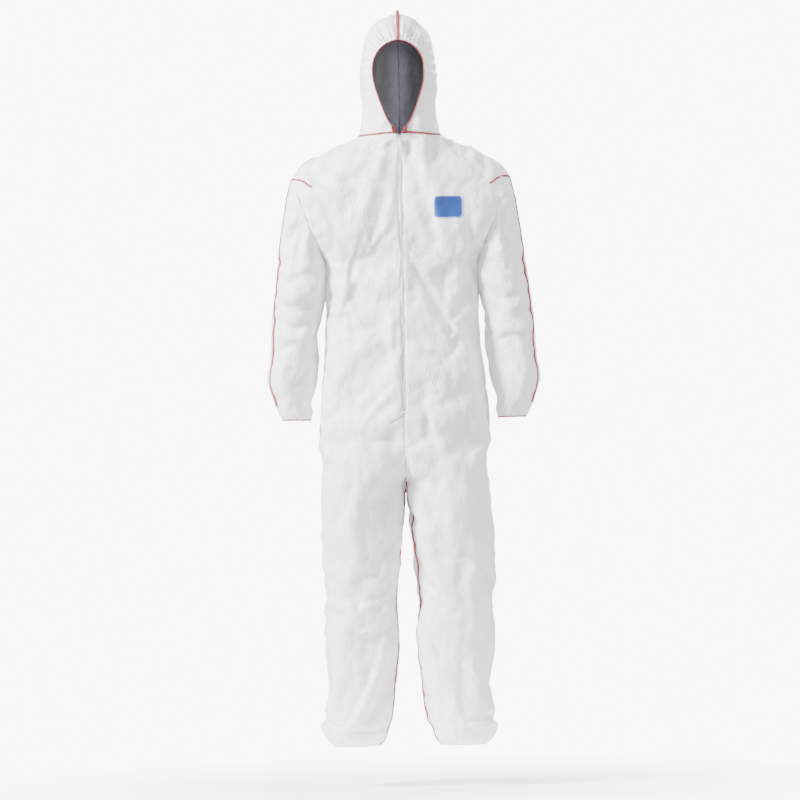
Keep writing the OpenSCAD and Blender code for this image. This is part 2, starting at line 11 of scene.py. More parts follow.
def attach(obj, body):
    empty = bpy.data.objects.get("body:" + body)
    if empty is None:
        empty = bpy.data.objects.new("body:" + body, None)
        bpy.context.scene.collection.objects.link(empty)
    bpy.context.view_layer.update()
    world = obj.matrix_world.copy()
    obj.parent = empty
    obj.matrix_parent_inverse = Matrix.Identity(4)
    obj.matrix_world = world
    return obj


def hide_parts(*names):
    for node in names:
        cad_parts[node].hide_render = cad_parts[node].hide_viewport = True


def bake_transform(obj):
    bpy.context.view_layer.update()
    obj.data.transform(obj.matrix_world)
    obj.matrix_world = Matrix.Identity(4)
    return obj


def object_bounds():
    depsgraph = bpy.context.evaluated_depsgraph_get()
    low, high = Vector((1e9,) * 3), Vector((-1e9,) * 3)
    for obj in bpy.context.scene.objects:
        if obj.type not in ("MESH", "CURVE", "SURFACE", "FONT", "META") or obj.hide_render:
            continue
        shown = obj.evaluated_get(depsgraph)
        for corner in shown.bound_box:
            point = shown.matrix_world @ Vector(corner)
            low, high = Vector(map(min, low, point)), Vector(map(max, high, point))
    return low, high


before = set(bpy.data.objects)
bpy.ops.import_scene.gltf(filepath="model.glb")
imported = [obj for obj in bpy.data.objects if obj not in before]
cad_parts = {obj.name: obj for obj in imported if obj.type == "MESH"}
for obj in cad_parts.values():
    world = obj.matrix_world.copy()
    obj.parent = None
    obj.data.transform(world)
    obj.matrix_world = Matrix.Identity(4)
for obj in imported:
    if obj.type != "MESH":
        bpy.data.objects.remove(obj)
cad_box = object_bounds()
low, high = cad_box

# The stage: a pale floor disc under the suit that fades out towards its rim, a white world that
# the camera sees behind it, four soft lights and a long lens at the height of the waist. The suit
# hangs a hand's breadth off the floor, and leans a degree in the picture.
VIEW_HEIGHT = 1.96
CAMERA_FAR = 14.0
LENS = 36 * CAMERA_FAR / VIEW_HEIGHT
eye = Vector((-0.0105, -CAMERA_FAR, -0.652))
bpy.ops.object.camera_add(location=eye, rotation=(math.radians(90), math.radians(1.03), 0))
camera = bpy.context.object
camera.data.lens = LENS
camera.data.sensor_width = 36
bpy.context.scene.camera = camera

floor_z = low.z - 0.1


def light(name, place, target, size, power):
    aim = (Vector(target) - Vector(place)).to_track_quat("-Z", "Y").to_euler()
    bpy.ops.object.light_add(type="AREA", location=place, rotation=aim)
    lamp = bpy.context.object
    lamp.name = name
    lamp.data.shape = "RECTANGLE"
    lamp.data.size, lamp.data.size_y = size
    lamp.data.energy = power
    return lamp


light("key", (-3.6, -2.0, 1.7), (0, 0, -0.6), (1.1, 1.5), 980)
light("front", (0.6, -5.2, 0.2), (0, 0, -0.7), (1.8, 1.8), 100)
light("right", (3.2, -0.5, 0.6), (0, 0, -0.7), (0.8, 2.2), 90)
light("behind", (1.0, 3.6, 1.4), (0, 0, -0.6), (1.2, 1.8), 260)

world = bpy.data.worlds.new("studio")
bpy.context.scene.world = world
world.use_nodes = True
sky = world.node_tree
seen = sky.nodes["Background"]
seen.inputs["Color"].default_value = (1, 1, 1, 1)
seen.inputs["Strength"].default_value = 9.0
given = sky.nodes.new("ShaderNodeBackground")
given.inputs["Color"].default_value = (0.94, 0.96, 1, 1)
given.inputs["Strength"].default_value = 0.88
path = sky.nodes.new("ShaderNodeLightPath")
choice = sky.nodes.new("ShaderNodeMixShader")
sky.links.new(path.outputs["Is Camera Ray"], choice.inputs["Fac"])
sky.links.new(given.outputs["Background"], choice.inputs[1])
sky.links.new(seen.outputs["Background"], choice.inputs[2])
sky.links.new(choice.outputs["Shader"], sky.nodes["World Output"].inputs["Surface"])

bpy.ops.object.select_all(action="DESELECT")
bpy.ops.mesh.primitive_circle_add(vertices=160, radius=1.25, fill_type="NGON", location=(0, 0, floor_z))
floor = bpy.context.object
floor.name = "floor"
paper = bpy.data.materials.new("pale_floor")
paper.use_nodes = True
pale = paper.node_tree.nodes["Principled BSDF"].inputs
pale["Base Color"].default_value = (0.92, 0.92, 0.92, 1)
pale["Roughness"].default_value = 0.9
pale["Emission Color"].default_value = (1, 1, 1, 1)
pale["Emission Strength"].default_value = 1.2
paper_tree = paper.node_tree
spot = paper_tree.nodes.new("ShaderNodeTexCoord")
reach = paper_tree.nodes.new("ShaderNodeVectorMath")
reach.operation = "LENGTH"
fade = paper_tree.nodes.new("ShaderNodeValToRGB")
fade.color_ramp.elements[0].position, fade.color_ramp.elements[1].position = 0.15, 0.6
clear = paper_tree.nodes.new("ShaderNodeBsdfTransparent")
spread = paper_tree.nodes.new("ShaderNodeMixShader")
halve = paper_tree.nodes.new("ShaderNodeMath")
halve.operation = "MULTIPLY"
halve.inputs[1].default_value = 0.5
paper_tree.links.new(spot.outputs["Object"], reach.inputs[0])
paper_tree.links.new(reach.outputs["Value"], halve.inputs[0])
paper_tree.links.new(halve.outputs[0], fade.inputs["Fac"])
paper_tree.links.new(fade.outputs["Color"], spread.inputs["Fac"])
paper_tree.links.new(paper_tree.nodes["Principled BSDF"].outputs["BSDF"], spread.inputs[1])
paper_tree.links.new(clear.outputs["BSDF"], spread.inputs[2])
paper_tree.links.new(spread.outputs["Shader"], paper_tree.nodes["Material Output"].inputs["Surface"])
floor.data.materials.append(paper)


# The cloth: a crisp non-woven sheet pressed from fine white fibres. Its faces show a
# faint swirl of fibres and a soft waxy gloss, and each handling leaves small hard creases.
class Value:
    """One output of a shader node, with which sums and products can be written."""

    def __init__(self, tree, socket):
        self.tree, self.socket = tree, socket

    def node(self, kind, settings, sockets, output=0):
        """A new node: its settings first, with a ramp's stops as (place, colour), then its sockets."""
        made = self.tree.nodes.new(kind)
        for name, setting in settings.items():
            if name == "stops":
                ramp = made.color_ramp.elements
                while len(ramp) < len(setting):
                    ramp.new(0.5)
                for element, (place, colour) in zip(ramp, setting):
                    element.position = place
                    element.color = (*colour, 1) if isinstance(colour, tuple) else (colour,) * 3 + (1,)
            else:
                setattr(made, name, setting)
        for name, value in sockets.items():
            if isinstance(value, Value):
                self.tree.links.new(value.socket, made.inputs[name])
            else:
                made.inputs[name].default_value = value
        return Value(self.tree, made.outputs[output])

    def math(self, operation, *others):
        return self.node("ShaderNodeMath", {"operation": operation}, dict(enumerate((self, *others))))

    def scaled(self, x, y, z):
        return self.node("ShaderNodeVectorMath", {"operation": "MULTIPLY"}, {0: self, 1: (x, y, z)})

    def noise(self, scale, detail=2.0, distortion=0.0, rough=0.5):
        sockets = {"Vector": self, "Scale": scale, "Detail": detail, "Distortion": distortion}
        return self.node("ShaderNodeTexNoise", {}, {**sockets, "Roughness": rough})

    def mixed(self, other, share):
        return self.node("ShaderNodeMix", {"data_type": "RGBA"}, {0: share, 6: self, 7: other}, 2)

    def ramp(self, *stops):
        return self.node("ShaderNodeValToRGB", {"stops": stops}, {0: self})

    def bump(self, distance, strength=1.0, under=None):
        sockets = {"Height": self, "Distance": distance, "Strength": strength}
        return self.node("ShaderNodeBump", {}, {**sockets, **({"Normal": under} if under else {})})

    def __add__(self, other):
        return self.math("ADD", other)

    def __sub__(self, other):
        return self.math("SUBTRACT", other)

    def __rsub__(self, other):
        return self.node("ShaderNodeMath", {"operation": "SUBTRACT"}, {0: other, 1: self})

    def __mul__(self, other):
        return self.math("MULTIPLY", other)

    __radd__, __rmul__ = __add__, __mul__


def finish_of(name, mix, source="Object", **constants):
    """A material: mix(place) gives the varying inputs, and constants go on the shader's own sockets."""
    material = bpy.data.materials.new(name)
    material.use_nodes = True
    tree = material.node_tree
    shader = tree.nodes["Principled BSDF"]
    place = Value(tree, tree.nodes.new("ShaderNodeTexCoord").outputs[source])
    for socket, value in mix(place).items():
        tree.links.new(value.socket, shader.inputs[socket])
    for socket, value in constants.items():
        shader.inputs[socket.replace("_", " ")].default_value = value
    return material


def cloth_mix(place):
    wander = place.node(
        "ShaderNodeVectorMath",
        {"operation": "MULTIPLY_ADD"},
        {0: place.node("ShaderNodeTexNoise", {}, {"Vector": place, "Scale": 14.0, "Detail": 2.0}, 1),
         1: (0.03,) * 3, 2: place},
    )
    folds = wander.scaled(1, 1, 0.5).noise(24, 3, 0.8, 0.55) - 0.5
    facets = folds.math("ABSOLUTE") * 2.2
    small = wander.node(
        "ShaderNodeTexVoronoi", {"feature": "DISTANCE_TO_EDGE"}, {"Vector": wander.scaled(1, 1, 0.8),
                                                                  "Scale": 120.0}
    )
    patches = place.noise(7, 2).ramp((0.40, 0.0), (0.62, 1.0))
    fibres = place.scaled(1, 1, 0.3).noise(420, 4, 1.6)
    swirl = place.noise(75, 5, 2.4, 0.65)
    tone = fibres * 0.35 + swirl * 0.65
    base = tone.ramp((0.30, (0.80, 0.806, 0.812)), (0.52, (0.862, 0.866, 0.868)),
                     (0.75, (0.895, 0.897, 0.896)))
    creases = facets.ramp((0.0, 0.0), (0.07, 0.55),
                          (0.30, 1.0)) * (patches * 0.7 + 0.3) + small.ramp((0.0, 0.0), (0.3, 1.0)) * 0.3
    height = creases * 0.55 + swirl * 0.25 + fibres * 0.12
    return {
        "Base Color": base,
        "Roughness": swirl * 0.22 + 0.40,
        "Normal": height.bump(0.0021, 1.0),
    }


cloth = finish_of("pressed_fibre_cloth", cloth_mix, Specular_IOR_Level=0.35, Sheen_Weight=0.05)


def through(keys, at):
    """A smooth curve through keys, each (place, value, ...), with the values' own last axis."""
    keys = np.array(keys, float)
    place, value = keys[:, 0], keys[:, 1:]
    slope = np.gradient(value, axis=0)
    slope[1:-1] = (value[2:] - value[:-2]) / (place[2:] - place[:-2])[:, None]
    slope[[0, -1]] = (value[[1, -1]] - value[[0, -2]]) / (place[[1, -1]] - place[[0, -2]])[:, None]
    at = np.clip(at, place[0], place[-1])
    i = np.clip(np.searchsorted(place, at, "right") - 1, 0, len(place) - 2)
    step = (place[i + 1] - place[i])[..., None]
    s = (at - place[i])[..., None] / step
    return (
        (2 * s**3 - 3 * s**2 + 1) * value[i]
        + (s**3 - 2 * s**2 + s) * step * slope[i]
        + (3 * s**2 - 2 * s**3) * value[i + 1]
        + (s**3 - s**2) * step * slope[i + 1]
    )


def signed_power(value, power):
    return np.sign(value) * np.abs(value) ** power


def section(centre, rx, ry, round_, angle):
    """A point of a tube's section: angle 0 is the outer side, -90 degrees the front."""
    x = centre + rx * signed_power(np.cos(angle), 2 / round_)
    return x, ry * signed_power(np.sin(angle), 2 / round_)


def angle_at(centre, rx, round_, x):
    return np.arccos(np.clip(signed_power((x - centre) / rx, round_ / 2), -1, 1))


def smooth(value, start, end):
    s = np.clip((value - start) / (end - start), 0, 1)
    return s * s * (3 - 2 * s)


def evenly(place, spacing):
    """Rows at even steps along a profile, as shares of its places."""
    t = np.linspace(0, 1, 4000)
    line = place(t)
    along = np.concatenate([[0], np.cumsum(np.linalg.norm(np.diff(line, axis=0), axis=1))])
    count = int(round(along[-1] / spacing))
    return np.interp(np.linspace(0, along[-1], count + 1), along, t)


def cut_sheet(name, rows, columns, surface, sign=1):
    """A grid of cloth shaped as surface(row, column) on the wearer's left; sign -1 mirrors it."""
    bpy.ops.object.select_all(action="DESELECT")
    bpy.ops.mesh.primitive_grid_add(x_subdivisions=len(columns) - 1, y_subdivisions=len(rows) - 1, size=2)
    piece = bpy.context.object
    piece.name = piece.data.name = name
    grid = np.array([v.co for v in piece.data.vertices])
    row = np.rint((grid[:, 1] + 1) / 2 * (len(rows) - 1)).astype(int)
    column = np.rint((grid[:, 0] + 1) / 2 * (len(columns) - 1)).astype(int)
    points = surface(rows[row], columns[column])
    points[:, 0] *= sign
    piece.data.vertices.foreach_set("co", points.ravel())
    piece.data.update()
    return piece


def points_of(piece):
    co = np.zeros(len(piece.data.vertices) * 3, np.float32)
    piece.data.vertices.foreach_get("co", co)
    return co.reshape(-1, 3).astype(float)


def normals_of(piece):
    piece.data.update()
    normal = np.zeros(len(piece.data.vertices) * 3, np.float32)
    piece.data.vertices.foreach_get("normal", normal)
    return normal.reshape(-1, 3).astype(float)


def place_points(piece, points):
    piece.data.vertices.foreach_set("co", points.astype(np.float32).ravel())
    piece.data.update()


def edit(piece, *steps):
    """Runs edit-mode operators on the whole piece."""
    bpy.ops.object.select_all(action="DESELECT")
    piece.select_set(True)
    bpy.context.view_layer.objects.active = piece
    bpy.ops.object.mode_set(mode="EDIT")
    bpy.ops.mesh.select_all(action="SELECT")
    for step in steps:
        step()
    bpy.ops.object.mode_set(mode="OBJECT")


def face_outwards(piece, core):
    """Turns the faces if they look at the core, which gives the middle of the tube at each point."""
    points = points_of(piece)
    if ((points - core(points)) * normals_of(piece)).sum() < 0:
        edit(piece, bpy.ops.mesh.flip_normals)


def apply_modifiers(piece):
    bpy.ops.object.select_all(action="DESELECT")
    piece.select_set(True)
    bpy.context.view_layer.objects.active = piece
    for modifier in list(piece.modifiers):
        bpy.ops.object.modifier_apply(modifier=modifier.name)


def joined(pieces, name):
    bpy.ops.object.select_all(action="DESELECT")
    for piece in pieces:
        piece.select_set(True)
    bpy.context.view_layer.objects.active = pieces[0]
    bpy.ops.object.join()
    whole = bpy.context.object
    whole.name = whole.data.name = name
    edit(whole, lambda: bpy.ops.mesh.remove_doubles(threshold=0.0002))
    return whole


def fold(points, normals, path, width, height, lean=0.0, back=False):
    """How far one fold lifts each point: a ridge along a path of (x, z), or a valley with a height below 0.
    lean from -1 to 1 makes one flank steeper."""
    line = np.array(path, float)
    steps = np.linspace(0, len(line) - 1, 8 * (len(line) - 1) + 1)
    line = through(np.column_stack([np.arange(len(line)), line]), steps)
    flat = points[:, [0, 2]]
    best = np.full(len(points), 1e9)
    along, signed = np.zeros(len(points)), np.zeros(len(points))
    for i in range(len(line) - 1):
        a, d = line[i], line[i + 1] - line[i]
        t = np.clip(((flat - a) @ d) / (d @ d), 0, 1)
        away = flat - a - t[:, None] * d
        far = np.linalg.norm(away, axis=1)
        near = far < best
        best = np.where(near, far, best)
        along = np.where(near, (i + t) / (len(line) - 1), along)
        signed = np.where(near, far * np.sign(d[0] * away[:, 1] - d[1] * away[:, 0]), signed)
    wide = width * (1 + lean * np.tanh(signed / (0.3 * width)))
    fade = np.sqrt(np.clip(np.sin(np.pi * np.clip(along * 0.94 + 0.03, 0, 1)), 0, 1))
    facing = smooth(normals[:, 1] * (1 if back else -1), 0.0, 0.35)
    return height * np.exp(-((signed / wide) ** 2)) * fade * facing


def hang(piece, held, growth, steps=14, limit=0.015, stiffness=18.0):
    """Lets the cloth settle: it is cut a little too large, and buckles between the held points."""
    before = points_of(piece)
    group = piece.vertex_groups.new(name="held")
    for weight in np.unique(np.round(held, 1)):
        chosen = np.flatnonzero(np.isclose(np.round(held, 1), weight)).tolist()
        if weight > 0:
            group.add(chosen, float(weight), "REPLACE")
    modifier = piece.modifiers.new("hang", "CLOTH")
    settings = modifier.settings
    settings.quality = 6
    settings.mass = 0.06
    settings.tension_stiffness = settings.compression_stiffness = stiffness
    settings.shear_stiffness = stiffness * 0.6
    settings.bending_stiffness = 0.6
    settings.tension_damping = settings.compression_damping = 8
    settings.air_damping = 4
    settings.vertex_group_mass = "held"
    settings.pin_stiffness = 4
    settings.shrink_min = settings.shrink_max = -growth
    settings.effector_weights.gravity = 0.35
    modifier.collision_settings.use_collision = False
    modifier.point_cache.frame_start, modifier.point_cache.frame_end = 1, steps
    for step in range(1, steps + 1):
        bpy.context.scene.frame_set(step)
        bpy.context.view_layer.update()
    apply_modifiers(piece)
    piece.vertex_groups.clear()
    bpy.context.scene.frame_set(1)
    moved = points_of(piece) - before
    far = np.linalg.norm(moved, axis=1)
    moved *= (limit * np.tanh(far / limit) / np.maximum(far, 1e-9))[:, None]
    place_points(piece, before + moved)


noise.seed_set(5)  # the creases sway the same way on every run


def crumple(piece, amount, share=1.0):
    """Small hard creases pressed into the sheet, sharper in some patches; share calms some points."""
    points, normals = points_of(piece), normals_of(piece)
    lift = np.zeros(len(points))
    for i, (x, y, z) in enumerate(points):
        p = Vector((x, y, z * 0.6))
        sway = noise.noise_vector(p * 12) * 0.02
        strength = 0.35 + 0.9 * max(0.0, noise.noise(Vector((x, y, z)) * 5.5) + 0.25)
        near = noise.voronoi((p + sway) * 26)[0]
        lift[i] = strength * (min(near[1] - near[0], 0.5) - 0.22) * 1.6
        near = noise.voronoi((p + sway) * 58 + Vector((3, 1, 7)))[0]
        lift[i] += 0.45 * strength * (min(near[1] - near[0], 0.5) - 0.2)
        lift[i] += 2.1 * noise.noise(Vector((x * 22, y * 22, z * 9)))
        lift[i] += 1.5 * noise.noise(Vector((x * 45, y * 45, z * 30)) + Vector((sway.x, sway.y, 4)) * 20)
    place_points(piece, points + normals * (lift * amount * share)[:, None])


skins = {}


def wall(piece, thickness, inner_painted_shade=None):
    """Gives the sheet its two faces, the inner with a finish of painted shade if asked; the outer keeps its
    shape.
    """
    faces = [tuple(face.vertices) for face in piece.data.polygons]
    skins[piece.name] = (points_of(piece), faces)
    modifier = piece.modifiers.new("wall", "SOLIDIFY")
    modifier.thickness = thickness
    modifier.offset = -1
    if inner_painted_shade is not None:
        piece.data.materials.append(inner_painted_shade)
        modifier.material_offset = 1
        modifier.material_offset_rim = 0
    apply_modifiers(piece)
    bpy.ops.object.shade_smooth()


# The two halves of the suit: each is one cut of cloth from the neck seam to the ankle,
# front and back in one, sewn to the other half down the back and under the crotch. The
# sheet hangs from the shoulders in long shallow folds, and is creased at the knees.
MM = 0.001
HEM_DROP = 1.496
CROTCH_DROP = 0.850
FORK_DROP = 0.745
ARM_TOP, ARM_PIT = (0.268, 0.112), (0.188, 0.312)
ZIP_LEAN, NECK_FRONT = 0.052, 0.088
TRUNK_ROUND = 2.4
TRUNK = [
    (0, 101, 88), (15, 124, 89), (44, 186, 94), (74, 238, 100), (103, 262, 106), (112, 268, 107),
    (212, 240, 118), (312, 188, 114), (450, 187, 100), (600, 200, 118), (700, 207, 127), (850, 212, 119),
]
LEGS = [
    (850, 212, 0, 119.9, 119), (1015, 213, 16, 104, 106), (1130, 209.5, 27, 98, 100),
    (1250, 209, 25, 94, 96), (1340, 208, 34, 91, 92), (1426, 212, 44, 89, 90),
    (1455, 211, 55, 84, 85), (1478, 200, 66, 74, 74), (1490, 191, 75, 62, 62), (1496, 185.5, 79.5, 53.5,
                                                                                53.5),
]
SLEEVES = [
    (112, 268, 190, 62), (132, 273, 189, 66), (162, 280, 188, 71), (220, 289, 188, 77), (312, 303, 188, 80),
    (426, 318.5, 197, 72), (544, 326, 206, 65), (603, 332, 212, 61), (650, 320, 221, 54), (682, 306, 224, 42),
    (698, 299, 227, 36),
]


def sleeve_row(drop):
    outer, inner, depth = np.moveaxis(through(SLEEVES, drop / MM) * MM, -1, 0)
    return (outer + inner) / 2, (outer - inner) / 2, depth


def armhole_x(drop):
    return ARM_TOP[0] + (ARM_PIT[0] - ARM_TOP[0]) * (drop - ARM_TOP[1]) / (ARM_PIT[1] - ARM_TOP[1])


def armhole_depth(drop):
    centre, rx, depth = sleeve_row(drop)
    return depth * np.sqrt(np.clip(1 - ((armhole_x(drop) - centre) / rx) ** 2, 0, 1))


def in_armhole(drop):
    return (drop > ARM_TOP[1]) & (drop < ARM_PIT[1])


def body_row(drop, back):
    """Centre, half width, depth and roundness of the body's section on one side."""
    width, back_depth = np.moveaxis(through(TRUNK, drop / MM) * MM, -1, 0)
    front = NECK_FRONT + ZIP_LEAN * np.minimum(drop, 0.7) - 0.03 * np.maximum(drop - 0.7, 0)
    depth = np.where(back, back_depth, front)
    opening = np.minimum(armhole_depth(drop) / depth, 0.95)
    width = np.where(in_armhole(drop), armhole_x(drop) / (1 - opening**TRUNK_ROUND) ** (1 / TRUNK_ROUND),
                     width)
    fork = np.clip((drop - FORK_DROP) / (CROTCH_DROP - FORK_DROP), 0, 1)
    outer, inner, leg_front, leg_back = np.moveaxis(through(LEGS, drop / MM) * MM, -1, 0)
    leg = drop >= CROTCH_DROP
    return (
        np.where(leg, (outer + inner) / 2, fork * width / (1 + fork)),
        np.where(leg, (outer - inner) / 2, width / (1 + fork)),
        np.where(leg, np.where(back, leg_back, leg_front), depth),
        TRUNK_ROUND - 0.3 * fork,
    )


def body_surface(drop, across):
    """across runs from -1 at the centre front over the side to 1 at the centre back."""
    back = across > 0
    centre, rx, ry, round_ = body_row(drop, back)
    side = np.where(in_armhole(drop), angle_at(centre, rx, round_, armhole_x(drop)), 0)
    edge = np.where(~back & (drop < ZIP_END), ZIP_SLOT, 0.0)
    last = angle_at(centre, rx, round_, edge)
    share = np.abs(across)
    bunch = 1 + 3 * np.clip((drop - FORK_DROP) / (CROTCH_DROP - FORK_DROP), 0, 1) ** 2
    angle = side + (math.pi - side) * share - (math.pi - last) * share**bunch
    x, y = section(centre, rx, ry, round_, np.where(back, 1, -1) * angle)
    return neck_droop(np.stack([x, y, -drop], -1))


ZIP_SLOT = 0.0039
ZIP_END = 0.689
HAIR = 1e-5
CLOTH_STEP = 0.0105
across_half = np.linspace(0, 1, 33)


def neck_droop(points):
    """The neck seam sags a little at the sides of the neck."""
    x, y, z = np.abs(points[..., 0]), points[..., 1], points[..., 2]
    sag = 0.0055 * smooth(x, 0.015, 0.10) * np.exp(-((z / 0.03) ** 2))
    return points - np.stack([0 * x, 0 * x, sag], -1)


def crest(t):
    drop = t * HEM_DROP
    width = np.where(drop < CROTCH_DROP, through(TRUNK, drop / MM)[:, 0], through(LEGS, drop / MM)[:, 0])
    return np.stack([width * MM, -drop], -1)


body_rows = evenly(crest, CLOTH_STEP) * HEM_DROP
for must in (ARM_TOP[1], ARM_PIT[1], ZIP_END, CROTCH_DROP):
    body_rows[np.abs(body_rows - must).argmin()] = must
body_rows = np.sort(np.concatenate([body_rows[body_rows < 1.447],
                                    [1.449, 1.457, 1.464, 1.471, 1.477, 1.483, 1.488, 1.492, 1.496]]))


# Long folds of the front: path of (x, z), width, height, lean
FRONT_FOLDS = [
    ([(-0.016, -0.02), (-0.05, -0.19), (-0.098, -0.31)], 0.013, -0.0075, 0.35),
    ([(-0.045, -0.05), (-0.082, -0.17), (-0.125, -0.30), (-0.15, -0.43)], 0.017, 0.006, -0.3),
    ([(-0.046, -0.25), (-0.105, -0.365), (-0.144, -0.431)], 0.013, -0.006, 0.3),
    ([(0.022, -0.03), (0.055, -0.14), (0.094, -0.31), (0.115, -0.48)], 0.014, -0.0075, -0.35),
    ([(0.05, -0.06), (0.092, -0.2), (0.13, -0.36)], 0.016, 0.005, 0.3),
    ([(0.012, -0.29), (0.06, -0.365), (0.11, -0.458), (0.146, -0.549)], 0.012, -0.0065, -0.4),
    ([(0.03, -0.26), (0.085, -0.38), (0.13, -0.5), (0.16, -0.62)], 0.015, 0.005, 0.3),
    ([(-0.034, -0.34), (-0.03, -0.46), (-0.018, -0.56), (-0.008, -0.64)], 0.008, 0.0055, -0.5),
    ([(-0.06, -0.42), (-0.075, -0.56), (-0.06, -0.7)], 0.018, -0.005, 0.2),
    ([(-0.12, -0.5), (-0.13, -0.66), (-0.12, -0.82)], 0.02, 0.005, 0.0),
    ([(0.04, -0.6), (0.06, -0.74), (0.1, -0.9)], 0.016, -0.005, 0.2),
    ([(0.006, -0.70), (0.005, -0.77), (0.004, -0.84)], 0.009, -0.005, 0.0),
    ([(-0.17, -0.2), (-0.165, -0.27), (-0.172, -0.34)], 0.012, -0.006, 0.4),
    ([(0.17, -0.18), (0.168, -0.27), (0.175, -0.36)], 0.012, -0.006, -0.4),
    ([(0.14, -0.12), (0.115, -0.155), (0.075, -0.17)], 0.012, 0.003, 0.2),
    ([(-0.2, -0.085), (-0.15, -0.12), (-0.1, -0.14)], 0.014, 0.003, 0.2),
]
# Folds of the legs' fronts, where the knees bend the sheet
LEG_FOLDS = [
    ([(-0.205, -1.00), (-0.15, -1.05), (-0.09, -1.075)], 0.010, -0.005, 0.4),
    ([(-0.205, -1.075), (-0.16, -1.10), (-0.12, -1.17)], 0.008, -0.0055, 0.4),
    ([(-0.19, -1.13), (-0.13, -1.15), (-0.085, -1.135)], 0.009, 0.005, -0.4),
    ([(-0.195, -1.17), (-0.15, -1.185), (-0.12, -1.24)], 0.008, -0.005, 0.4),
    ([(-0.16, -1.19), (-0.12, -1.215), (-0.07, -1.205)], 0.009, 0.005, 0.3),
    ([(-0.06, -1.22), (-0.085, -1.31), (-0.13, -1.41), (-0.175, -1.47)], 0.017, 0.012, 0.6),
    ([(-0.04, -1.26), (-0.07, -1.36), (-0.12, -1.45)], 0.014, -0.007, 0.3),
    ([(-0.19, -1.44), (-0.13, -1.455), (-0.06, -1.45)], 0.009, -0.005, 0.3),
    ([(0.052, -1.13), (0.085, -1.165), (0.13, -1.16)], 0.009, -0.006, -0.4),
    ([(0.16, -1.04), (0.158, -1.13), (0.165, -1.21)], 0.009, 0.008, -0.5),
    ([(0.128, -1.02), (0.135, -1.2), (0.13, -1.36), (0.145, -1.47)], 0.015, -0.006, 0.45),
    ([(0.175, -1.08), (0.18, -1.2), (0.175, -1.3)], 0.011, -0.005, 0.2),
    ([(0.1, -1.01), (0.12, -1.03), (0.16, -1.02)], 0.008, -0.0045, 0.3),
    ([(0.07, -1.25), (0.11, -1.29), (0.15, -1.28)], 0.012, -0.004, 0.3),
    ([(0.07, -1.40), (0.12, -1.435), (0.18, -1.43)], 0.012, -0.004, 0.3),
    ([(-0.12, -0.86), (-0.135, -0.95), (-0.12, -1.04)], 0.018, 0.004, 0.0),
    ([(0.10, -0.88), (0.12, -0.97), (0.105, -1.05)], 0.018, 0.004, 0.0),
]
BACK_FOLDS = [
    ([(-0.04, -0.10), (-0.07, -0.24), (-0.11, -0.40)], 0.016, -0.006, 0.3),
    ([(0.05, -0.08), (0.08, -0.22), (0.10, -0.40)], 0.016, -0.006, -0.3),
    ([(-0.14, -0.16), (-0.12, -0.28), (-0.135, -0.42)], 0.017, 0.006, 0.2),
    ([(0.15, -0.18), (0.13, -0.30), (0.14, -0.42)], 0.017, 0.006, 0.2),
    ([(-0.06, -0.48), (-0.075, -0.62), (-0.06, -0.80)], 0.018, -0.006, 0.2),
    ([(0.07, -0.48), (0.06, -0.62), (0.085, -0.80)], 0.018, -0.006, 0.2),
    ([(-0.13, -0.50), (-0.14, -0.66), (-0.13, -0.82)], 0.018, 0.006, 0.0),
    ([(0.13, -0.50), (0.145, -0.66), (0.12, -0.84)], 0.018, 0.006, 0.0),
    ([(-0.03, -0.90), (-0.08, -0.93), (-0.16, -0.91)], 0.012, -0.006, 0.3),
    ([(0.03, -0.90), (0.09, -0.935), (0.17, -0.92)], 0.012, -0.006, -0.3),
    ([(-0.06, -1.12), (-0.11, -1.16), (-0.18, -1.14)], 0.010, -0.007, 0.4),
    ([(0.06, -1.14), (0.12, -1.17), (0.18, -1.14)], 0.010, -0.007, 0.4),
    ([(-0.08, -1.20), (-0.12, -1.225), (-0.17, -1.22)], 0.010, 0.006, 0.4),
    ([(0.07, -1.21), (0.12, -1.235), (0.17, -1.22)], 0.010, 0.006, 0.4),
    ([(-0.10, -1.26), (-0.13, -1.36), (-0.12, -1.46)], 0.016, 0.008, 0.3),
    ([(0.12, -1.27), (0.11, -1.36), (0.13, -1.46)], 0.016, 0.008, -0.3),
]


def body_core(points):
    side = np.sign(points[:, 0].mean())
    centre = np.where(points[:, 2] < -FORK_DROP, 0.11 * side, 0.0)
    return np.stack([centre, np.zeros(len(points)), points[:, 2]], -1)


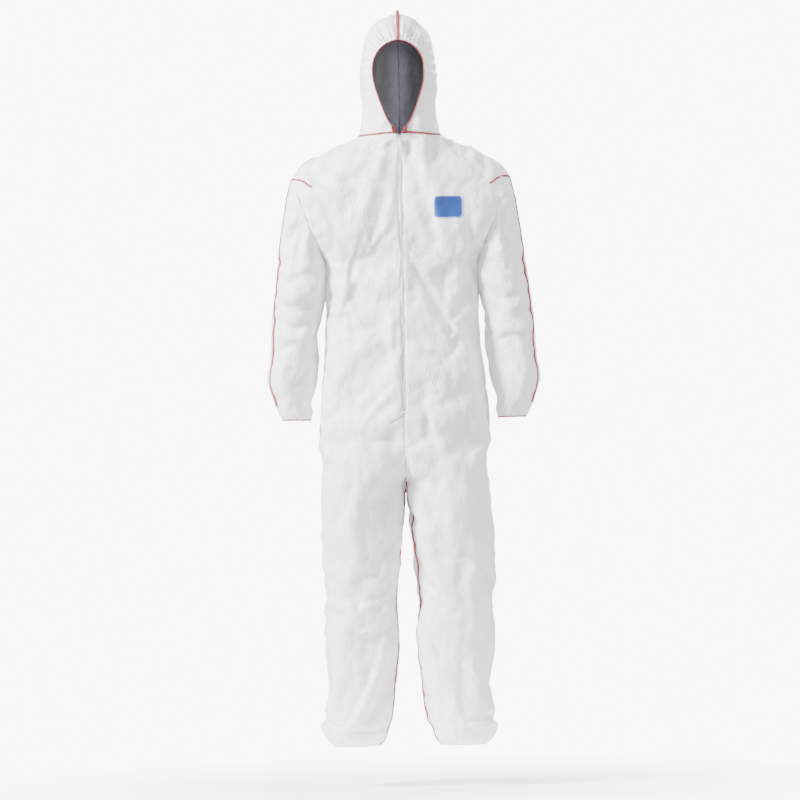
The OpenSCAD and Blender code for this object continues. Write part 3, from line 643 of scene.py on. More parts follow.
bodies = {}
for side, sign in (("left", 1), ("right", -1)):
    front = cut_sheet("front", body_rows, -across_half[::-1] - HAIR, body_surface, sign)
    back = cut_sheet("back", body_rows, across_half + HAIR, body_surface, sign)
    body = joined([front, back], side + "_body")
    face_outwards(body, body_core)
    points, normals = points_of(body), normals_of(body)
    lift = np.zeros(len(points))
    for path, width, height, lean in FRONT_FOLDS + LEG_FOLDS:
        lift += fold(points, normals, path, width, height, lean)
    for path, width, height, lean in BACK_FOLDS:
        lift += fold(points, normals, path, width, height, lean, back=True)
    x, y, z = np.abs(points[:, 0]), points[:, 1], points[:, 2]
    # still at the zip, the centre back, the neck, the armhole and the ankle
    at_centre = smooth(x, 0.0, 0.02) + (z < -CROTCH_DROP)
    to_armhole = np.abs((x - ARM_TOP[0]) * 0.93 - (z + ARM_TOP[1]) * 0.37)
    calm = np.clip(at_centre, 0, 1) * smooth(-z, 0.0, 0.03) * smooth(to_armhole, 0.0, 0.03)
    lift *= np.where(z > -0.33, calm, np.clip(at_centre, 0, 1)) * smooth(z, -HEM_DROP, -HEM_DROP + 0.03)
    # gathers round the ankle elastic, and the elastic across the back of the waist
    turn = np.arctan2(y, x - 0.128)
    ankle = smooth(-z, 1.43, HEM_DROP)
    lift += 0.004 * np.exp(-(((z + 1.478) / 0.014) ** 2))
    lift += 0.0030 * np.sin(31 * turn + 3 * np.sin(2 * turn)) * ankle
    lift += 0.005 * smooth(x, 0.165, 0.185) * np.exp(-(((z + 0.375) / 0.05) ** 4))
    waist = np.exp(-(((z + 0.45) / 0.035) ** 2)) * smooth(y, 0.0, 0.05) * smooth(x, 0.012, 0.03)
    lift += (0.003 * np.sin(x * 620 + 2 * np.sin(x * 90)) + 0.002) * waist
    place_points(body, points + normals * lift[:, None])
    still = np.maximum(1 - np.clip(at_centre, 0, 1), 1 - smooth(-z, 0.0, 0.012))
    still = np.maximum(still, np.where((z > -0.33) & (to_armhole < 0.004) & (x > 0.17), 1, 0))
    still = np.maximum(still, smooth(-z, HEM_DROP - 0.03, HEM_DROP - 0.008))
    still = np.maximum(still, np.exp(-((y / 0.03) ** 2)) * (z > -0.125))
    still = np.maximum(still, 0.8 * np.exp(-((y / 0.04) ** 2)) * ((z < -0.31) & (z > -0.6)))
    inner = (z < -CROTCH_DROP) & (np.abs(y) < 0.012) & (x < 0.09)
    hang(body, np.maximum(still, inner), growth=0.06)
    modifier = body.modifiers.new("finer", "SUBSURF")
    modifier.levels = modifier.render_levels = 1
    apply_modifiers(body)
    points = points_of(body)
    x, y, z = np.abs(points[:, 0]), points[:, 1], points[:, 2]
    inner = np.exp(-(((y + 0.012) / 0.022) ** 2)) * smooth(-x, -0.11, -0.07) * (z < -CROTCH_DROP)
    crumple(body, 0.0021,
            (1 - 0.8 * inner) * (0.25 + 0.75 * smooth(z, -HEM_DROP, -1.44)) * smooth(-z, 0.0, 0.02))
    body.data.materials.append(cloth)
    wall(body, 0.0004)
    bodies[side] = body
    leg = side + "_leg"
    reach = Vector((sign * 0.115, 0, -0.115))
    start = Vector((0, 0, -CROTCH_DROP)) + reach * 0.04
    start + reach
    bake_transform(body)
    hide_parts(side + "_body_panel", side + "_hip_panel", side + "_leg_panel")
    side + "_shoulder_thread"


# The sleeves: one tube of the same cloth each, sewn down its outer side and set into the
# armhole along a slanting straight seam. The cloth bunches under the arm and creases at
# the elbow, and the cuff is gathered by an elastic.
def sleeve_surface(drop, across):
    """across is 0 under the arm or at the armhole, and 1 either way at the outer seam; front below 0."""
    centre, rx, depth = sleeve_row(drop)
    last = np.where(in_armhole(drop), angle_at(centre, rx, 2.0, armhole_x(drop)), math.pi)
    x, y = section(centre, rx, depth, 2.0, np.sign(across) * last * (1 - np.abs(across)))
    return np.stack([x, y, -drop], -1)


CUFF_DROP = 0.698
sleeve_rows = np.linspace(ARM_TOP[1], CUFF_DROP, 60)
sleeve_rows[np.abs(sleeve_rows - ARM_PIT[1]).argmin()] = ARM_PIT[1]
sleeve_columns = np.linspace(0, 1, 22)
SLEEVE_FOLDS = [
    ([(0.205, -0.30), (0.235, -0.33), (0.275, -0.345)], 0.010, -0.006, 0.3),
    ([(0.20, -0.335), (0.235, -0.375), (0.285, -0.39)], 0.011, 0.006, -0.3),
    ([(0.205, -0.38), (0.24, -0.41), (0.30, -0.40)], 0.009, -0.006, 0.4),
    ([(0.215, -0.43), (0.255, -0.455), (0.31, -0.44)], 0.010, -0.0065, 0.4),
    ([(0.21, -0.465), (0.25, -0.485), (0.315, -0.475)], 0.010, 0.006, -0.4),
    ([(0.225, -0.52), (0.26, -0.50), (0.31, -0.515)], 0.010, -0.006, 0.4),
    ([(0.235, -0.56), (0.262, -0.60), (0.272, -0.66)], 0.012, -0.005, 0.3),
    ([(0.285, -0.53), (0.292, -0.60), (0.285, -0.67)], 0.012, 0.005, 0.3),
    ([(0.245, -0.17), (0.255, -0.26), (0.27, -0.36)], 0.014, -0.006, 0.4),
    ([(0.262, -0.15), (0.285, -0.25), (0.295, -0.34)], 0.013, 0.005, -0.4),
]


def sleeve_core(points):
    side = np.sign(points[:, 0].mean())
    return np.stack([np.full(len(points), 0.245 * side), np.zeros(len(points)), points[:, 2]], -1)


def sleeve_plane(points):
    """Distance outwards from the plane of the armhole."""
    return (np.abs(points[:, 0]) - 0.228) * 0.929 - (points[:, 2] + 0.212) * 0.371


sleeves = {}
sleeve_blend = {}
leg_blend = {}
for side, sign in (("left", 1), ("right", -1)):
    reach = Vector((sign * 0.115, 0, -0.115))
    start = Vector((0, 0, -CROTCH_DROP)) + reach * 0.04
    leg_blend[side] = ("trunk", side + "_leg", start, start + reach)
    front = cut_sheet("front", sleeve_rows, sleeve_columns - 1 - HAIR * (sleeve_columns == 1),
                      sleeve_surface, sign)
    back = cut_sheet("back", sleeve_rows, sleeve_columns + HAIR * (sleeve_columns == 0), sleeve_surface, sign)
    sleeve = joined([front, back], side + "_sleeve_cloth")
    face_outwards(sleeve, sleeve_core)
    points, normals = points_of(sleeve), normals_of(sleeve)
    lift = np.zeros(len(points))
    shift = 0.0 if side == "left" else -0.013
    for path, width, height, lean in SLEEVE_FOLDS:
        mirrored = [(sign * x, z + shift) for x, z in path]
        lift += fold(points, normals, mirrored, width, height, lean)
        lift += fold(points, normals, [(sign * x, z + 0.021) for x, z in path], width, height, -lean,
                     back=True)
    away = sleeve_plane(points)
    lift *= smooth(away, 0.0, 0.03) * smooth(points[:, 2], -CUFF_DROP, -CUFF_DROP + 0.03)
    turn = np.arctan2(points[:, 1], points[:, 0] * sign - 0.263)
    under = smooth(-points[:, 0] * sign, -0.245, -0.200) * np.exp(-(((points[:, 2] + 0.365) / 0.06) ** 4))
    lift += 0.0075 * under
    lift += 0.0026 * np.sin(26 * turn + 3 * np.sin(3 * turn)) * smooth(-points[:, 2], 0.645, CUFF_DROP)
    lift -= 0.0026 * smooth(-points[:, 2], 0.684, CUFF_DROP)
    place_points(sleeve, points + normals * lift[:, None])
    still = np.maximum(1 - smooth(away, 0.0, 0.008), smooth(-points[:, 2], 0.672, 0.69))
    seam_line = (np.abs(points[:, 1] + 0.012) < 0.018) & (points[:, 0] * sign > 0.262)
    still = np.maximum(still, 0.8 * under)
    hang(sleeve, np.maximum(still, seam_line * 0.8), growth=0.05)
    modifier = sleeve.modifiers.new("finer", "SUBSURF")
    modifier.levels = modifier.render_levels = 1
    apply_modifiers(sleeve)
    points = points_of(sleeve)
    outer = np.exp(-(((points[:, 1] + 0.02) / 0.024) ** 2)) * smooth(points[:, 0] * sign, 0.262, 0.275)
    crumple(sleeve, 0.0019, (1 - 0.8 * outer) * (0.3 + 0.7 * smooth(points[:, 2], -CUFF_DROP, -0.65)))
    sleeve.data.materials.append(cloth)
    wall(sleeve, 0.0004)
    sleeves[side] = sleeve
    normal = Vector((sign * 0.929, 0, -0.371))
    middle = Vector((sign * 0.228, 0, -0.212))
    sleeve_blend[side] = ("trunk", side + "_sleeve", middle + normal * 0.003, middle + normal * 0.13)
    side + "_sleeve"
    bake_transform(sleeve)
    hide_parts(side + "_sleeve_head", side + "_sleeve")
    side + "_armhole_thread"


# The hood: two halves of the same cloth, sewn together from the forehead over the crown to
# the nape, and drawn in round the face by an elastic, which gathers the cloth in fine
# ripples. Its inner face carries painted shade: grey, with a paler purplish strip down the middle.
HOOD = [
    (0, 101, 88, 88), (44, 89.5, 91, 93), (73, 88.5, 95, 103), (103, 93, 99, 116), (132, 94.3, 101, 127),
    (162, 93, 100, 133), (191, 88.5, 94, 133), (220, 83, 82, 126), (250, 70, 62, 106), (275, 47, 38, 72),
    (294, 7, 6, 16), (295.5, 0.01, 0.01, 0.01),
]
HOOD_TOP = 0.2955
FACE = [
    (0, 8), (34, 30), (83, 49), (120, 60), (149, 63.5), (175, 61), (200, 49), (215, 33), (222, 20), (225, 10),
    (226, 0.01), (300, 0),
]


def face_half(rise):
    return np.maximum(through(FACE, rise / MM)[..., 0], 0) * MM * (rise < 0.226)


def hood_surface(rise, across):
    """across is 0 at the edge round the face, or at the middle above it, and 1 at the centre back."""
    half, front, back = np.moveaxis(through(HOOD, rise / MM) * MM, -1, 0)
    half, front, back = np.maximum(half, 1e-5), np.maximum(front, 1e-5), np.maximum(back, 1e-5)
    first = -angle_at(0, half, 2.2, face_half(rise))
    angle = first + (math.pi / 2 - first) * across
    x, y = section(0, half, np.where(angle < 0, front, back), 2.2, angle)
    return neck_droop(np.stack([x, y, rise], -1))


def hood_cloth(row, across):
    """The hood's surface with rows from 0 to 1 that run along the edge round the face and over the crown."""
    spread = smooth(across, 0.0, 0.75)
    rise = np.interp(row, edge_share, edge_rise) * (1 - spread) + np.interp(row, back_share,
                                                                            back_rise) * spread
    return hood_surface(rise, across)


def even_rises(across):
    """Even steps along one line of the hood, from the neck to the crown: their shares and their rises."""
    rise = HOOD_TOP * np.sin(np.linspace(0, math.pi / 2, 3000))
    line = hood_surface(rise, np.full(3000, across))
    along = np.concatenate([[0], np.cumsum(np.linalg.norm(np.diff(line, axis=0), axis=1))])
    return along / along[-1], rise


def face_edge(count):
    """Points along the left half of the edge round the face, from the neck to the forehead."""
    rise = np.interp(np.linspace(0, 1, count), [0, 0.75, 1], [0, 0.205, 0.2258])
    points = hood_surface(rise, np.zeros(count))
    along = np.concatenate([[0], np.cumsum(np.linalg.norm(np.diff(points, axis=0), axis=1))])
    even = np.linspace(0, along[-1], count)
    return np.stack([np.interp(even, along, points[:, i]) for i in range(3)], 1)


edge_share, edge_rise = even_rises(0.0)
back_share, back_rise = even_rises(1.0)
hood_rows = np.linspace(0, 1, 46)
hood_columns = np.linspace(0, 1, 30) ** 1.15
# The inner face's grey is painted shade, darker at the sides and paler down the middle, where the inside of
# the hood lies in shadow.
inner_painted_shade = finish_of("hood_inner_painted_shade", lambda place: {
    "Base Color": (place.node("ShaderNodeSeparateXYZ", {}, {0: place}, 0).math("ABSOLUTE")
                   + place.noise(30, 3) * 0.01).ramp(
        (0.010, (0.36, 0.35, 0.44)), (0.040, (0.225, 0.23, 0.235)), (0.2, (0.20, 0.205, 0.207))),
    "Roughness": place.noise(90, 4) * 0.2 + 0.55,
    "Normal": place.noise(160, 5, 1.5).bump(0.0008, 0.7),
})
hoods = {}
edge_line = face_edge(160)
for side, sign in (("left", 1), ("right", -1)):
    hood = cut_sheet("hood_" + side + "_cloth", hood_rows, hood_columns, hood_cloth, sign)
    edit(hood, lambda: bpy.ops.mesh.remove_doubles(threshold=0.0003))
    face_outwards(hood, lambda points: np.stack(
        [0 * points[:, 0], 0 * points[:, 0], np.minimum(points[:, 2], 0.12)], -1))
    modifier = hood.modifiers.new("finer", "SUBSURF")
    modifier.levels = modifier.render_levels = 1
    modifier.boundary_smooth = "PRESERVE_CORNERS"
    apply_modifiers(hood)
    points, normals = points_of(hood), normals_of(hood)
    x, y, z = np.abs(points[:, 0]), points[:, 1], points[:, 2]
    flat = np.stack([x, z], 1)[:, None] - edge_line[None, :, [0, 2]]
    far = np.linalg.norm(flat, axis=2)
    near, at = far.min(1), far.argmin(1) / 159
    front = smooth(-y, 0.0, 0.03)
    drawn = smooth(near, 0.001, 0.008) * np.exp(-((near / 0.028) ** 2)) * front
    phase = at * 66 * 2 * math.pi / 2 + 1.4 * np.sin(at * 21)
    lift = drawn * (0.0018 + 0.0024 * smooth(at, 0.4, 1)) * np.sin(phase)
    wide = smooth(near, 0.004, 0.02) * np.exp(-((near / 0.055) ** 2)) * front
    lift += wide * 0.0036 * np.sin(at * 23 * math.pi + 2 * np.sin(at * 9)) * smooth(at, 0.25, 0.6)
    open_ = smooth(x, 0.0, 0.015) * smooth(z, 0.0, 0.02)
    for path, width, height, lean in [
        ([(0.075, 0.20), (0.07, 0.155), (0.082, 0.12)], 0.010, -0.005, 0.3),
        ([(0.068, 0.17), (0.085, 0.14), (0.088, 0.10)], 0.009, 0.004, 0.3),
        ([(0.05, 0.055), (0.066, 0.03), (0.085, 0.005)], 0.010, -0.004, 0.3),
        ([(0.04, 0.035), (0.055, 0.015), (0.07, -0.01)], 0.009, 0.0035, 0.3),
        ([(-0.075, 0.21), (-0.079, 0.15), (-0.08, 0.09)], 0.010, 0.003, 0.3),
        ([(-0.052, 0.06), (-0.066, 0.03), (-0.085, 0.0)], 0.010, -0.004, 0.3),
        ([(-0.035, 0.03), (-0.05, 0.01), (-0.065, -0.01)], 0.009, 0.003, 0.3),
    ]:
        lift += fold(points, normals, path, width, height, lean)
    for path, width, height, lean in [
        ([(sign * 0.03, 0.25), (sign * 0.045, 0.15), (sign * 0.04, 0.05)], 0.014, -0.004, 0.2),
        ([(sign * 0.01, 0.06), (sign * 0.04, 0.045), (sign * 0.08, 0.06)], 0.010, -0.0045, 0.3),
        ([(sign * 0.01, 0.035), (sign * 0.045, 0.02), (sign * 0.085, 0.03)], 0.010, 0.004, 0.3),
    ]:
        lift += fold(points, normals, path, width, height, lean, back=True)
    place_points(hood, points + normals * (lift * open_)[:, None])
    crumple(hood, 0.0021, smooth(near, 0.0, 0.012) * smooth(x, 0.0, 0.012))
    hood.data.materials.append(cloth)
    # the inner faces take the painted grey shade
    wall(hood, 0.0004, inner_painted_shade)
    hoods[side] = hood
    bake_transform(hood)
    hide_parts("hood_neck_" + side, "hood_" + side + "_panel")


# The seams: overlocked edges of the cloth, wrapped in red thread. Each is a narrow flange
# that stands on the cloth along the joint of two pieces, and rides with one body or stays where it lies.
def band_mix(place):
    along = place.node("ShaderNodeSeparateXYZ", {}, {0: place}, 1)
    around = place.node("ShaderNodeSeparateXYZ", {}, {0: place}, 0)
    wrap = (along * 400 + around).math("FRACT") - 0.5
    wrap = wrap.math("ABSOLUTE") * 2
    loop = (around * 6.2832).math("SINE") * 0.5 + 0.5
    uneven = place.scaled(30, 160, 1).noise(1.0, 3)
    thread = (wrap + uneven * 0.5).ramp((0.34, 0.0), (0.62, 1.0))
    red = uneven.ramp((0.3, (0.16, 0.002, 0.006)), (0.7, (0.34, 0.010, 0.020)))
    pale = loop.ramp((0.2, (0.52, 0.10, 0.11)), (0.9, (0.62, 0.24, 0.25)))
    return {
        "Base Color": pale.mixed(red, thread),
        "Roughness": uneven * 0.3 + 0.5,
        "Normal": thread.bump(0.0004, 0.6),
    }


seam_thread = finish_of("overlock_thread", band_mix, "UV", Sheen_Weight=0.1)


def even_line(line, step, closed=False):
    line = np.asarray(line, float)
    if closed:
        line = np.vstack([line, line[:1]])
    along = np.concatenate([[0], np.cumsum(np.linalg.norm(np.diff(line, axis=0), axis=1))])
    count = max(int(round(along[-1] / step)), 4)
    even = np.linspace(0, along[-1], count + 1)
    return np.stack([np.interp(even, along, line[:, i]) for i in range(3)], 1)


def cloth_tree(pieces):
    """The outer faces of some pieces of cloth, for finding the nearest point on them."""
    corners, faces = [], []
    for piece in pieces:
        points, polygons = skins[piece.name]
        faces += [[len(corners) + i for i in polygon] for polygon in polygons]
        corners += [tuple(point) for point in points]
    return BVHTree.FromPolygons(corners, faces)


def laid_on(tree, line, reach=0.02, smoothing=60):
    """Moves a line onto the cloth, and gives its points and the directions away from the cloth."""
    points, away = [], []
    for point in line:
        spot, normal, _, far = tree.find_nearest(Vector(point), reach)
        points.append(spot if spot else Vector(point))
        away.append(normal if normal else Vector((0, 0, 1)))
    points, away = np.array(points), np.array(away)
    for _ in range(smoothing):
        points[1:-1] = (points[:-2] + 2 * points[1:-1] + points[2:]) / 4
    return points, away


def band(name, points, away, half_width, half_height, step, rise=0.0, pitch=0.0, ripple=0.0, closed=False):
    """A flat-oval band swept along points, with its height along away; stitches swell it at the pitch."""
    for _ in range(24):
        away[1:-1] = (away[:-2] + 2 * away[1:-1] + away[2:]) / 4
    tangent = np.gradient(points, axis=0)
    if closed:
        tangent[0] = tangent[-1] = points[1] - points[-2]
        away[0] = away[-1] = (away[0] + away[-1]) / 2
    tangent /= np.linalg.norm(tangent, axis=1)[:, None]
    away = away - (away * tangent).sum(1)[:, None] * tangent
    away /= np.linalg.norm(away, axis=1)[:, None]
    across = np.cross(tangent, away)
    sides = 10
    bpy.ops.object.select_all(action="DESELECT")
    bpy.ops.mesh.primitive_grid_add(x_subdivisions=sides, y_subdivisions=len(points) - 1, size=2)
    piece = bpy.context.object
    piece.name = piece.data.name = name
    grid = np.array([v.co for v in piece.data.vertices])
    row = np.rint((grid[:, 1] + 1) / 2 * (len(points) - 1)).astype(int)
    turn = -(grid[:, 0] + 1) * math.pi
    along = row * step
    swell = 1 + (ripple * np.sin(2 * math.pi * along / pitch + turn) if pitch else 0.0)
    end = np.ones(len(points))
    if not closed:
        end[[0, -1]] = 0.45
    across_part = across[row] * (np.cos(turn) * half_width * swell * end[row])[:, None]
    up_part = away[row] * (np.sin(turn) * half_height * swell * end[row] + rise)[:, None]
    place_points(piece, points[row] + across_part + up_part)
    layer = piece.data.uv_layers[0].data
    uv = np.zeros(len(layer) * 2, np.float32)
    layer.foreach_get("uv", uv)
    uv[1::2] *= (len(points) - 1) * step
    layer.foreach_set("uv", uv)
    edit(piece, lambda: bpy.ops.mesh.remove_doubles(threshold=1e-6))
    if not closed:
        edit(
            piece,
            lambda: bpy.ops.mesh.select_all(action="DESELECT"),
            lambda: bpy.ops.mesh.select_non_manifold(),
            lambda: bpy.ops.mesh.fill_holes(sides=0),
            lambda: bpy.ops.mesh.select_all(action="SELECT"),
        )
    edit(piece, lambda: bpy.ops.mesh.normals_make_consistent(inside=False))
    bpy.ops.object.shade_smooth()
    return piece


SEAM_STEP = 0.0008


def sewn(name, line, tree, material, rides, replaced, half=(0.0021, 0.0013), rise=0.0012, closed=False):
    """A band laid on the cloth along a line in place of its CAD node, attached to its body when rides names
    one; a pair of bodies is not used, and the band stays where it lies.
    """
    line = even_line(line, SEAM_STEP, closed)
    points, away = laid_on(tree, line)
    if closed:
        points[-1] = points[0]
    piece = band(name, points, away, half[0], half[1], SEAM_STEP, rise, 0.0026, 0.14, closed)
    piece.data.materials.append(material)
    if isinstance(rides, str):
        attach(piece, rides)
    else:
        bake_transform(piece)
    if replaced:
        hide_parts(*replaced)
    return piece


body_tree = cloth_tree(bodies.values())
hood_tree = cloth_tree(hoods.values())
neck_tree = cloth_tree(list(bodies.values()) + list(hoods.values()))
hood_blend = ("trunk", "hood", (0, 0, 0.0), (0, 0, 0.08))
drops = np.linspace(0, 1, 400)


def mirrored(line, sign):
    return np.asarray(line) * (sign, 1, 1)


neck_across = np.concatenate([np.linspace(-1, -HAIR, 60), np.linspace(HAIR, 1, 60)])
neck_left = body_surface(np.zeros(120), neck_across)
neck_line = np.vstack([neck_left, mirrored(neck_left, -1)[::-1][1:]])
sewn("neck_seam_thread", neck_line, neck_tree, seam_thread, "trunk", ["neck_seam"], (0.0025, 0.0017), 0.0012)
centre_back = body_surface(drops * CROTCH_DROP, np.ones(400))
sewn("back_seam_thread", centre_back, body_tree, seam_thread, "trunk", ["center_back_seam"])
for side, sign in (("left", 1), ("right", -1)):
    shoulder = mirrored(body_surface(0.002 + drops * (ARM_TOP[1] - 0.002), np.full(400, HAIR)), sign)
    sewn(side + "_shoulder_thread", shoulder, cloth_tree([bodies[side]]), seam_thread, "trunk",
         [side + "_shoulder_seam"],
         (0.0015, 0.0009), 0.0008)
    hole = ARM_TOP[1] + 1e-4 + drops * (ARM_PIT[1] - ARM_TOP[1] - 2e-4)
    edge = np.stack([armhole_x(hole), armhole_depth(hole), -hole], 1)
    hole_line = np.vstack([edge[::-1] * (1, -1, 1), edge[1:]])
    sewn(side + "_armhole_thread", mirrored(hole_line, sign), cloth_tree([bodies[side], sleeves[side]]),
         seam_thread,
         "trunk", [side + "_armhole_seam"], (0.0013, 0.0009), -0.0016)
    cap = [(0.272, -0.006, -0.114), (0.262, -0.028, -0.108), (0.246, -0.055, -0.111),
           (0.219, -0.085, -0.1245)]
    cap = through(np.column_stack([range(4), mirrored(cap, sign)]), np.linspace(0, 3, 60))
    sewn(side + "_shoulder_cap_thread", cap, cloth_tree([bodies[side]]), seam_thread, "trunk", [],
         (0.0025, 0.0015))
    outer = mirrored(sleeve_surface(ARM_TOP[1] + drops * (0.662 - ARM_TOP[1]),
                                    -0.85 - 0.15 * (1 - drops) ** 14), sign)
    sewn(side + "_sleeve_thread", outer, cloth_tree([sleeves[side]]), seam_thread, sleeve_blend[side],
         [side + "_sleeve_seam"], (0.0038, 0.0016))
    inner = mirrored(body_surface(CROTCH_DROP + 0.002 + drops * (HEM_DROP - CROTCH_DROP - 0.004),
                                  -np.ones(400) * (0.925 if side == "left" else 0.975)), sign)
    sewn(side + "_inseam_thread", inner, cloth_tree([bodies[side]]), seam_thread, leg_blend[side],
         [side + "_inseam"], (0.0034, 0.0016))
crotch = []
for across in np.concatenate([np.linspace(-1, -0.999, 2), np.linspace(0.999, 1, 2)]):
    crotch.append(body_surface(np.array([CROTCH_DROP - 0.0005]), np.array([across]))[0])
crotch = np.array([crotch[0] * (0, 1, 1), crotch[-1] * (0, 1, 1)])
sewn("crotch_thread", crotch, body_tree, seam_thread, "trunk", ["crotch_seam"], rise=-0.0002)
crown_line = np.vstack([hood_surface(np.linspace(0.2262, HOOD_TOP, 200), np.zeros(200)) * (0, 1, 1),
                        hood_surface(np.linspace(HOOD_TOP, 0.09, 300), np.ones(300)) * (0, 1, 1)])
sewn("crown_thread", crown_line, hood_tree, seam_thread, hood_blend, ["hood_crown_seam"], (0.0036, 0.0018),
     0.0015)
nape = hood_surface(np.linspace(0.09, 0.002, 100), np.ones(100)) * (0, 1, 1)
sewn("nape_thread", nape, hood_tree, seam_thread, hood_blend, ["hood_nape_seam"], (0.0021, 0.0014), 0.0013)
edge_left = face_edge(300)
face_ring = np.vstack([edge_left, mirrored(edge_left, -1)[::-1][1:]])
sewn("face_edge_thread", face_ring, hood_tree, seam_thread, hood_blend, ["face_edge_seam"],
     (0.0015, 0.0015), 0.0)
knot_top = hood_surface(np.array([HOOD_TOP]), np.array([1.0]))[0] * (0, 1, 1)
turns = np.linspace(0, 3 * 2 * math.pi, 120)
knot_line = knot_top + np.stack([0.0030 * np.cos(turns), -0.004 + 0.0030 * np.sin(turns),
                                 0.0010 + turns * 0.00024], 1)
knot_line = np.vstack([knot_line, knot_line[-1] + [(-0.001, -0.001, 0.0016), (-0.0022, -0.002, 0.0028)]])
knot_points = even_line(knot_line, 0.0006)
knot = band("crown_knot", knot_points, np.tile((0.3, -0.2, 1.0), (len(knot_points), 1)), 0.0015, 0.0014,
            0.0006)
knot.data.materials.append(seam_thread)
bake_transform(knot)


# The gathered edges: round each cuff and ankle, and round the face, a narrow elastic is
# sewn into the folded edge of the cloth, and draws it into ripples.
def elastic_mix(place):
    height = place.node("ShaderNodeSeparateXYZ", {}, {0: place}, 2)
    ribs = (height * 4200).math("SINE") * 0.5 + 0.5
    cross = place.noise(900, 3)
    return {
        "Base Color": (ribs * 0.6 + cross * 0.4).ramp((0.25, (0.70, 0.70, 0.69)), (0.75, (0.86, 0.86, 0.85))),
        "Roughness": cross * 0.2 + 0.62,
        "Normal": (ribs * 0.6 + cross * 0.4).bump(0.0005, 0.8),
    }


elastic = finish_of("ribbed_elastic", elastic_mix, Sheen_Weight=0.15)


def dressed(material, *nodes):
    """Gives CAD nodes a finish."""
    for node in nodes:
        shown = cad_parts[node]
        shown.data.materials.clear()
        shown.data.materials.append(material)


dressed(elastic, "waist_elastic", "left_wrist_elastic", "right_wrist_elastic", "left_ankle_elastic",
        "right_ankle_elastic")


def edge_of(piece, drop, middle, count=240):
    """The lowest ring of a tube of cloth, taken round its middle."""
    points = points_of(piece)
    points = points[points[:, 2] < -drop + 0.0025]
    turn = np.arctan2(points[:, 1], points[:, 0] - middle)
    order = np.argsort(turn)
    wrapped = np.concatenate([turn[order] - 2 * math.pi, turn[order], turn[order] + 2 * math.pi])
    ring = np.linspace(-math.pi, math.pi, count, endpoint=False)
    spots = points[np.tile(order, 3)]
    line = np.stack([np.interp(ring, wrapped, spots[:, i]) for i in range(3)], 1)
    for _ in range(2):
        line = (np.roll(line, 1, 0) + 2 * line + np.roll(line, -1, 0)) / 4
    return line


for side, sign in (("left", 1), ("right", -1)):
    cuff = edge_of(sleeves[side], CUFF_DROP, 0.263 * sign)
    line = even_line(cuff, SEAM_STEP, True)
    piece = band(side + "_cuff_thread", line, np.tile((0.0, 0.0, -1.0), (len(line), 1)), 0.0017, 0.0016,
                 SEAM_STEP,
                 0.0, 0.0026, 0.14, True)
    piece.data.materials.append(seam_thread)
    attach(piece, side + "_sleeve")
    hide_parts(side + "_wrist_hem")
    hem = edge_of(bodies[side], HEM_DROP, 0.1325 * sign)
    line = even_line(hem, SEAM_STEP, True)
    piece = band(side + "_ankle_hem_fold", line, np.tile((0.0, 0.0, -1.0), (len(line), 1)), 0.0016, 0.0018,
                 SEAM_STEP,
                 0.0, 0.0, 0.0, True)
    piece.data.materials.append(cloth)
    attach(piece, side + "_leg")
    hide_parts(side + "_ankle_hem")
ring = even_line(face_ring, 0.0015)
inside = np.array([0.0, 0.0, 0.13]) - ring
inside[:, 1] = 0.02
inside /= np.linalg.norm(inside, axis=1)[:, None]
points, away = laid_on(hood_tree, ring - 0.004 * inside * (1, 0, 1))
face_cord = band("face_elastic_cord", points + (0, 0.0022, 0), away, 0.0022, 0.0008, 0.0015)
face_cord.data.materials.append(elastic)
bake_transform(face_cord)
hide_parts("face_elastic")


# The zip: a moulded plastic chain on two woven tapes, sewn behind the edges of the front,
# with a slider and its pull, and a short row of stitches across the cloth at its foot.
def plastic_mix(place):
    grain = place.noise(260, 4)
    return {
        "Base Color": grain.ramp((0.3, (0.86, 0.865, 0.87)), (0.7, (0.93, 0.933, 0.935))),
        "Roughness": grain * 0.18 + 0.28,
        "Normal": place.noise(1400, 2).bump(0.0001, 0.5),
    }


def tape_mix(place):
    x = place.node("ShaderNodeSeparateXYZ", {}, {0: place}, 0)
    z = place.node("ShaderNodeSeparateXYZ", {}, {0: place}, 2)
    rib = x * 5200 + (z * 2600).math("SINE") * 1.2
    weave = rib.math("SINE") * 0.5 + 0.5
    return {
        "Base Color": weave.ramp((0.2, (0.80, 0.805, 0.81)), (0.8, (0.92, 0.92, 0.92))),
        "Roughness": weave * 0.15 + 0.65,
        "Normal": weave.bump(0.0003, 0.8),
    }


plastic = finish_of("zip_plastic", plastic_mix, Specular_IOR_Level=0.5)
tape = finish_of("zip_tape_weave", tape_mix, Sheen_Weight=0.2)
dressed(plastic, "zip_teeth_left", "zip_teeth_right", "zip_top_stop_left", "zip_top_stop_right",
        "zip_bottom_stop",
        "zip_slider", "zip_pull")
dressed(tape, "zip_tape_left", "zip_tape_right")
stitch_line = through([(0, -0.001, -0.12, -0.690), (1, -0.018, -0.12, -0.6965), (2, -0.038, -0.12, -0.708)],
                      drops[::8] * 2)
sewn("zip_foot_stitches", stitch_line, body_tree, seam_thread, "trunk", ["zip_end_stitch"],
     (0.0008, 0.0006), 0.0006)


# The red tabs: two short ends of folded tape that finish the elastic of the hood where it
# meets the zip, sewn slanting into the neck seam.
def tab_mix(place):
    ribs = place.noise(1100, 2)
    return {
        "Base Color": ribs.ramp((0.3, (0.085, 0.0, 0.0005)), (0.7, (0.14, 0.0, 0.001))),
        "Roughness": ribs * 0.2 + 0.5,
        "Normal": ribs.bump(0.0003, 0.7),
    }


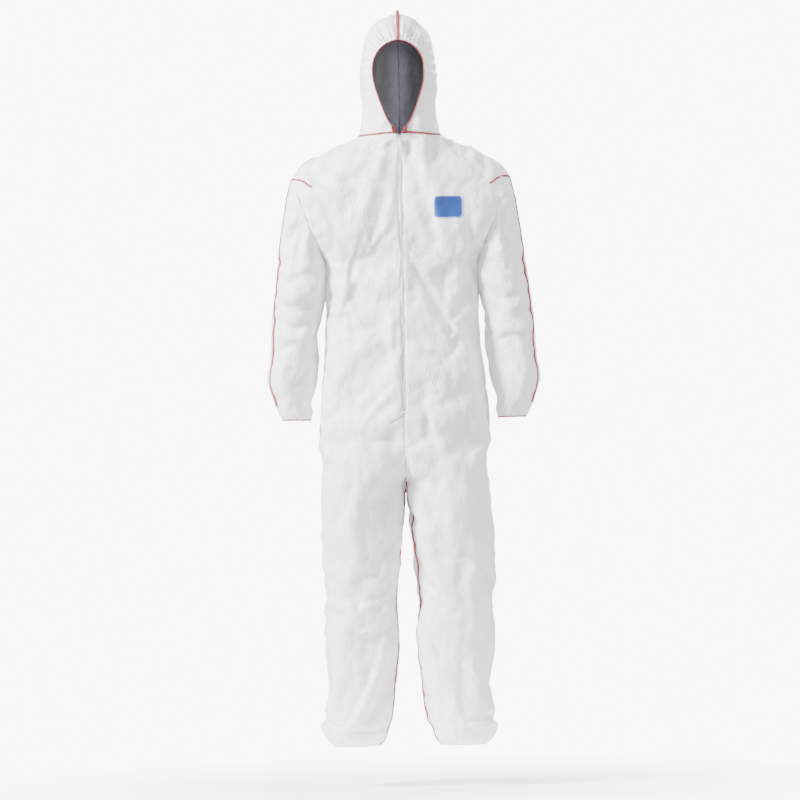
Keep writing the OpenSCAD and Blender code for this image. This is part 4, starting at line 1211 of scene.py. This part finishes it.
tab_tape = finish_of("red_binding", tab_mix, Sheen_Weight=0.2)
for side, sign in (("left", 1), ("right", -1)):
    path = np.array([(0.0165, -0.0925, 0.0125), (0.0158, -0.0948, 0.0127), (0.0130, -0.0962, 0.0035),
                     (0.0108, -0.0950, -0.0025),
                     (0.0116, -0.0920, 0.0000), (0.0140, -0.0905, 0.0105)])
    path = through(np.column_stack([range(6), path]), np.linspace(0, 5, 60)) * (sign, 1, 1)
    path = even_line(path, 0.0006)
    tangent = np.gradient(path, axis=0)
    away = np.cross(np.tile((1.0, 0.0, 0.28 * sign), (len(path), 1)), tangent) * -1
    away /= np.linalg.norm(away, axis=1)[:, None]
    tab = band(side + "_tab_fold", path, away, 0.0048, 0.0007, 0.0006)
    tab.data.materials.append(tab_tape)
    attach(tab, "trunk")
    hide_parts(side + "_neck_tab")


# The label: a small woven rectangle with rounded corners, sewn to the wearer's left chest
# round its pale edge. It carries nothing but its colour.
LABEL = (0.072, 0.056, 0.011)


def label_mix(place):
    u = place.node("ShaderNodeSeparateXYZ", {}, {0: place}, 0)
    v = place.node("ShaderNodeSeparateXYZ", {}, {0: place}, 1)
    away_u = (u - 0.5).math("ABSOLUTE")
    away_v = (v - 0.5).math("ABSOLUTE")
    across = away_u * LABEL[0] + 0.5 * (LABEL[1] - LABEL[0])
    edge = across.math("MAXIMUM", away_v * LABEL[1])
    twill = u * 640 + v * 500
    weave = twill.math("SINE") * 0.5 + 0.5
    blue = weave.ramp((0.1, (0.002, 0.036, 0.21)), (0.9, (0.004, 0.055, 0.29)))
    border = (edge * 10).ramp((0.250, 0.0), (0.258, 1.0))
    return {
        "Base Color": blue.mixed((0.42, 0.50, 0.62, 1), border),
        "Roughness": weave * 0.12 + 0.42,
        "Normal": weave.bump(0.0002, 0.6),
    }


woven = finish_of("label_weave", label_mix, "UV", Sheen_Weight=0.1)
bpy.ops.object.select_all(action="DESELECT")
bpy.ops.mesh.primitive_grid_add(x_subdivisions=72, y_subdivisions=56, size=2)
label = bpy.context.object
label.name = label.data.name = "woven_label"
flat = points_of(label)[:, :2] * (LABEL[0] / 2, LABEL[1] / 2)
corner = np.array(LABEL[:2]) / 2 - LABEL[2]
beyond = np.maximum(np.abs(flat) - corner, 0)
reach = np.linalg.norm(beyond, axis=1)
pull = np.where((beyond.min(1) > 0) & (reach > 0),
                np.maximum(beyond.max(1), 1e-9) / np.maximum(reach, 1e-9), 1.0)
flat = np.sign(flat) * np.where(np.abs(flat) > corner, corner + beyond * pull[:, None], np.abs(flat))
spots = []
for x, z in flat:
    spot, normal, _, _ = body_tree.ray_cast(Vector((0.115 + x, -0.4, -0.184 + z)), Vector((0, 1, 0)))
    spots.append((spot.x, spot.y, spot.z))
spots = np.array(spots).reshape(57, 73, 3)
for _ in range(10):
    inner = spots[1:-1, 1:-1] * 0.5 + (
        spots[:-2, 1:-1] + spots[2:, 1:-1] + spots[1:-1, :-2] + spots[1:-1, 2:]) * 0.125
    spots[1:-1, 1:-1, 1] = np.minimum(inner[:, :, 1], spots[1:-1, 1:-1, 1])
place_points(label, spots.reshape(-1, 3) - (0, 0.0011, 0))
face_outwards(label, lambda points: points + (0, 0.05, 0))
label.data.materials.append(woven)
wall(label, 0.0009)
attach(label, "trunk")
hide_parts("chest_label")
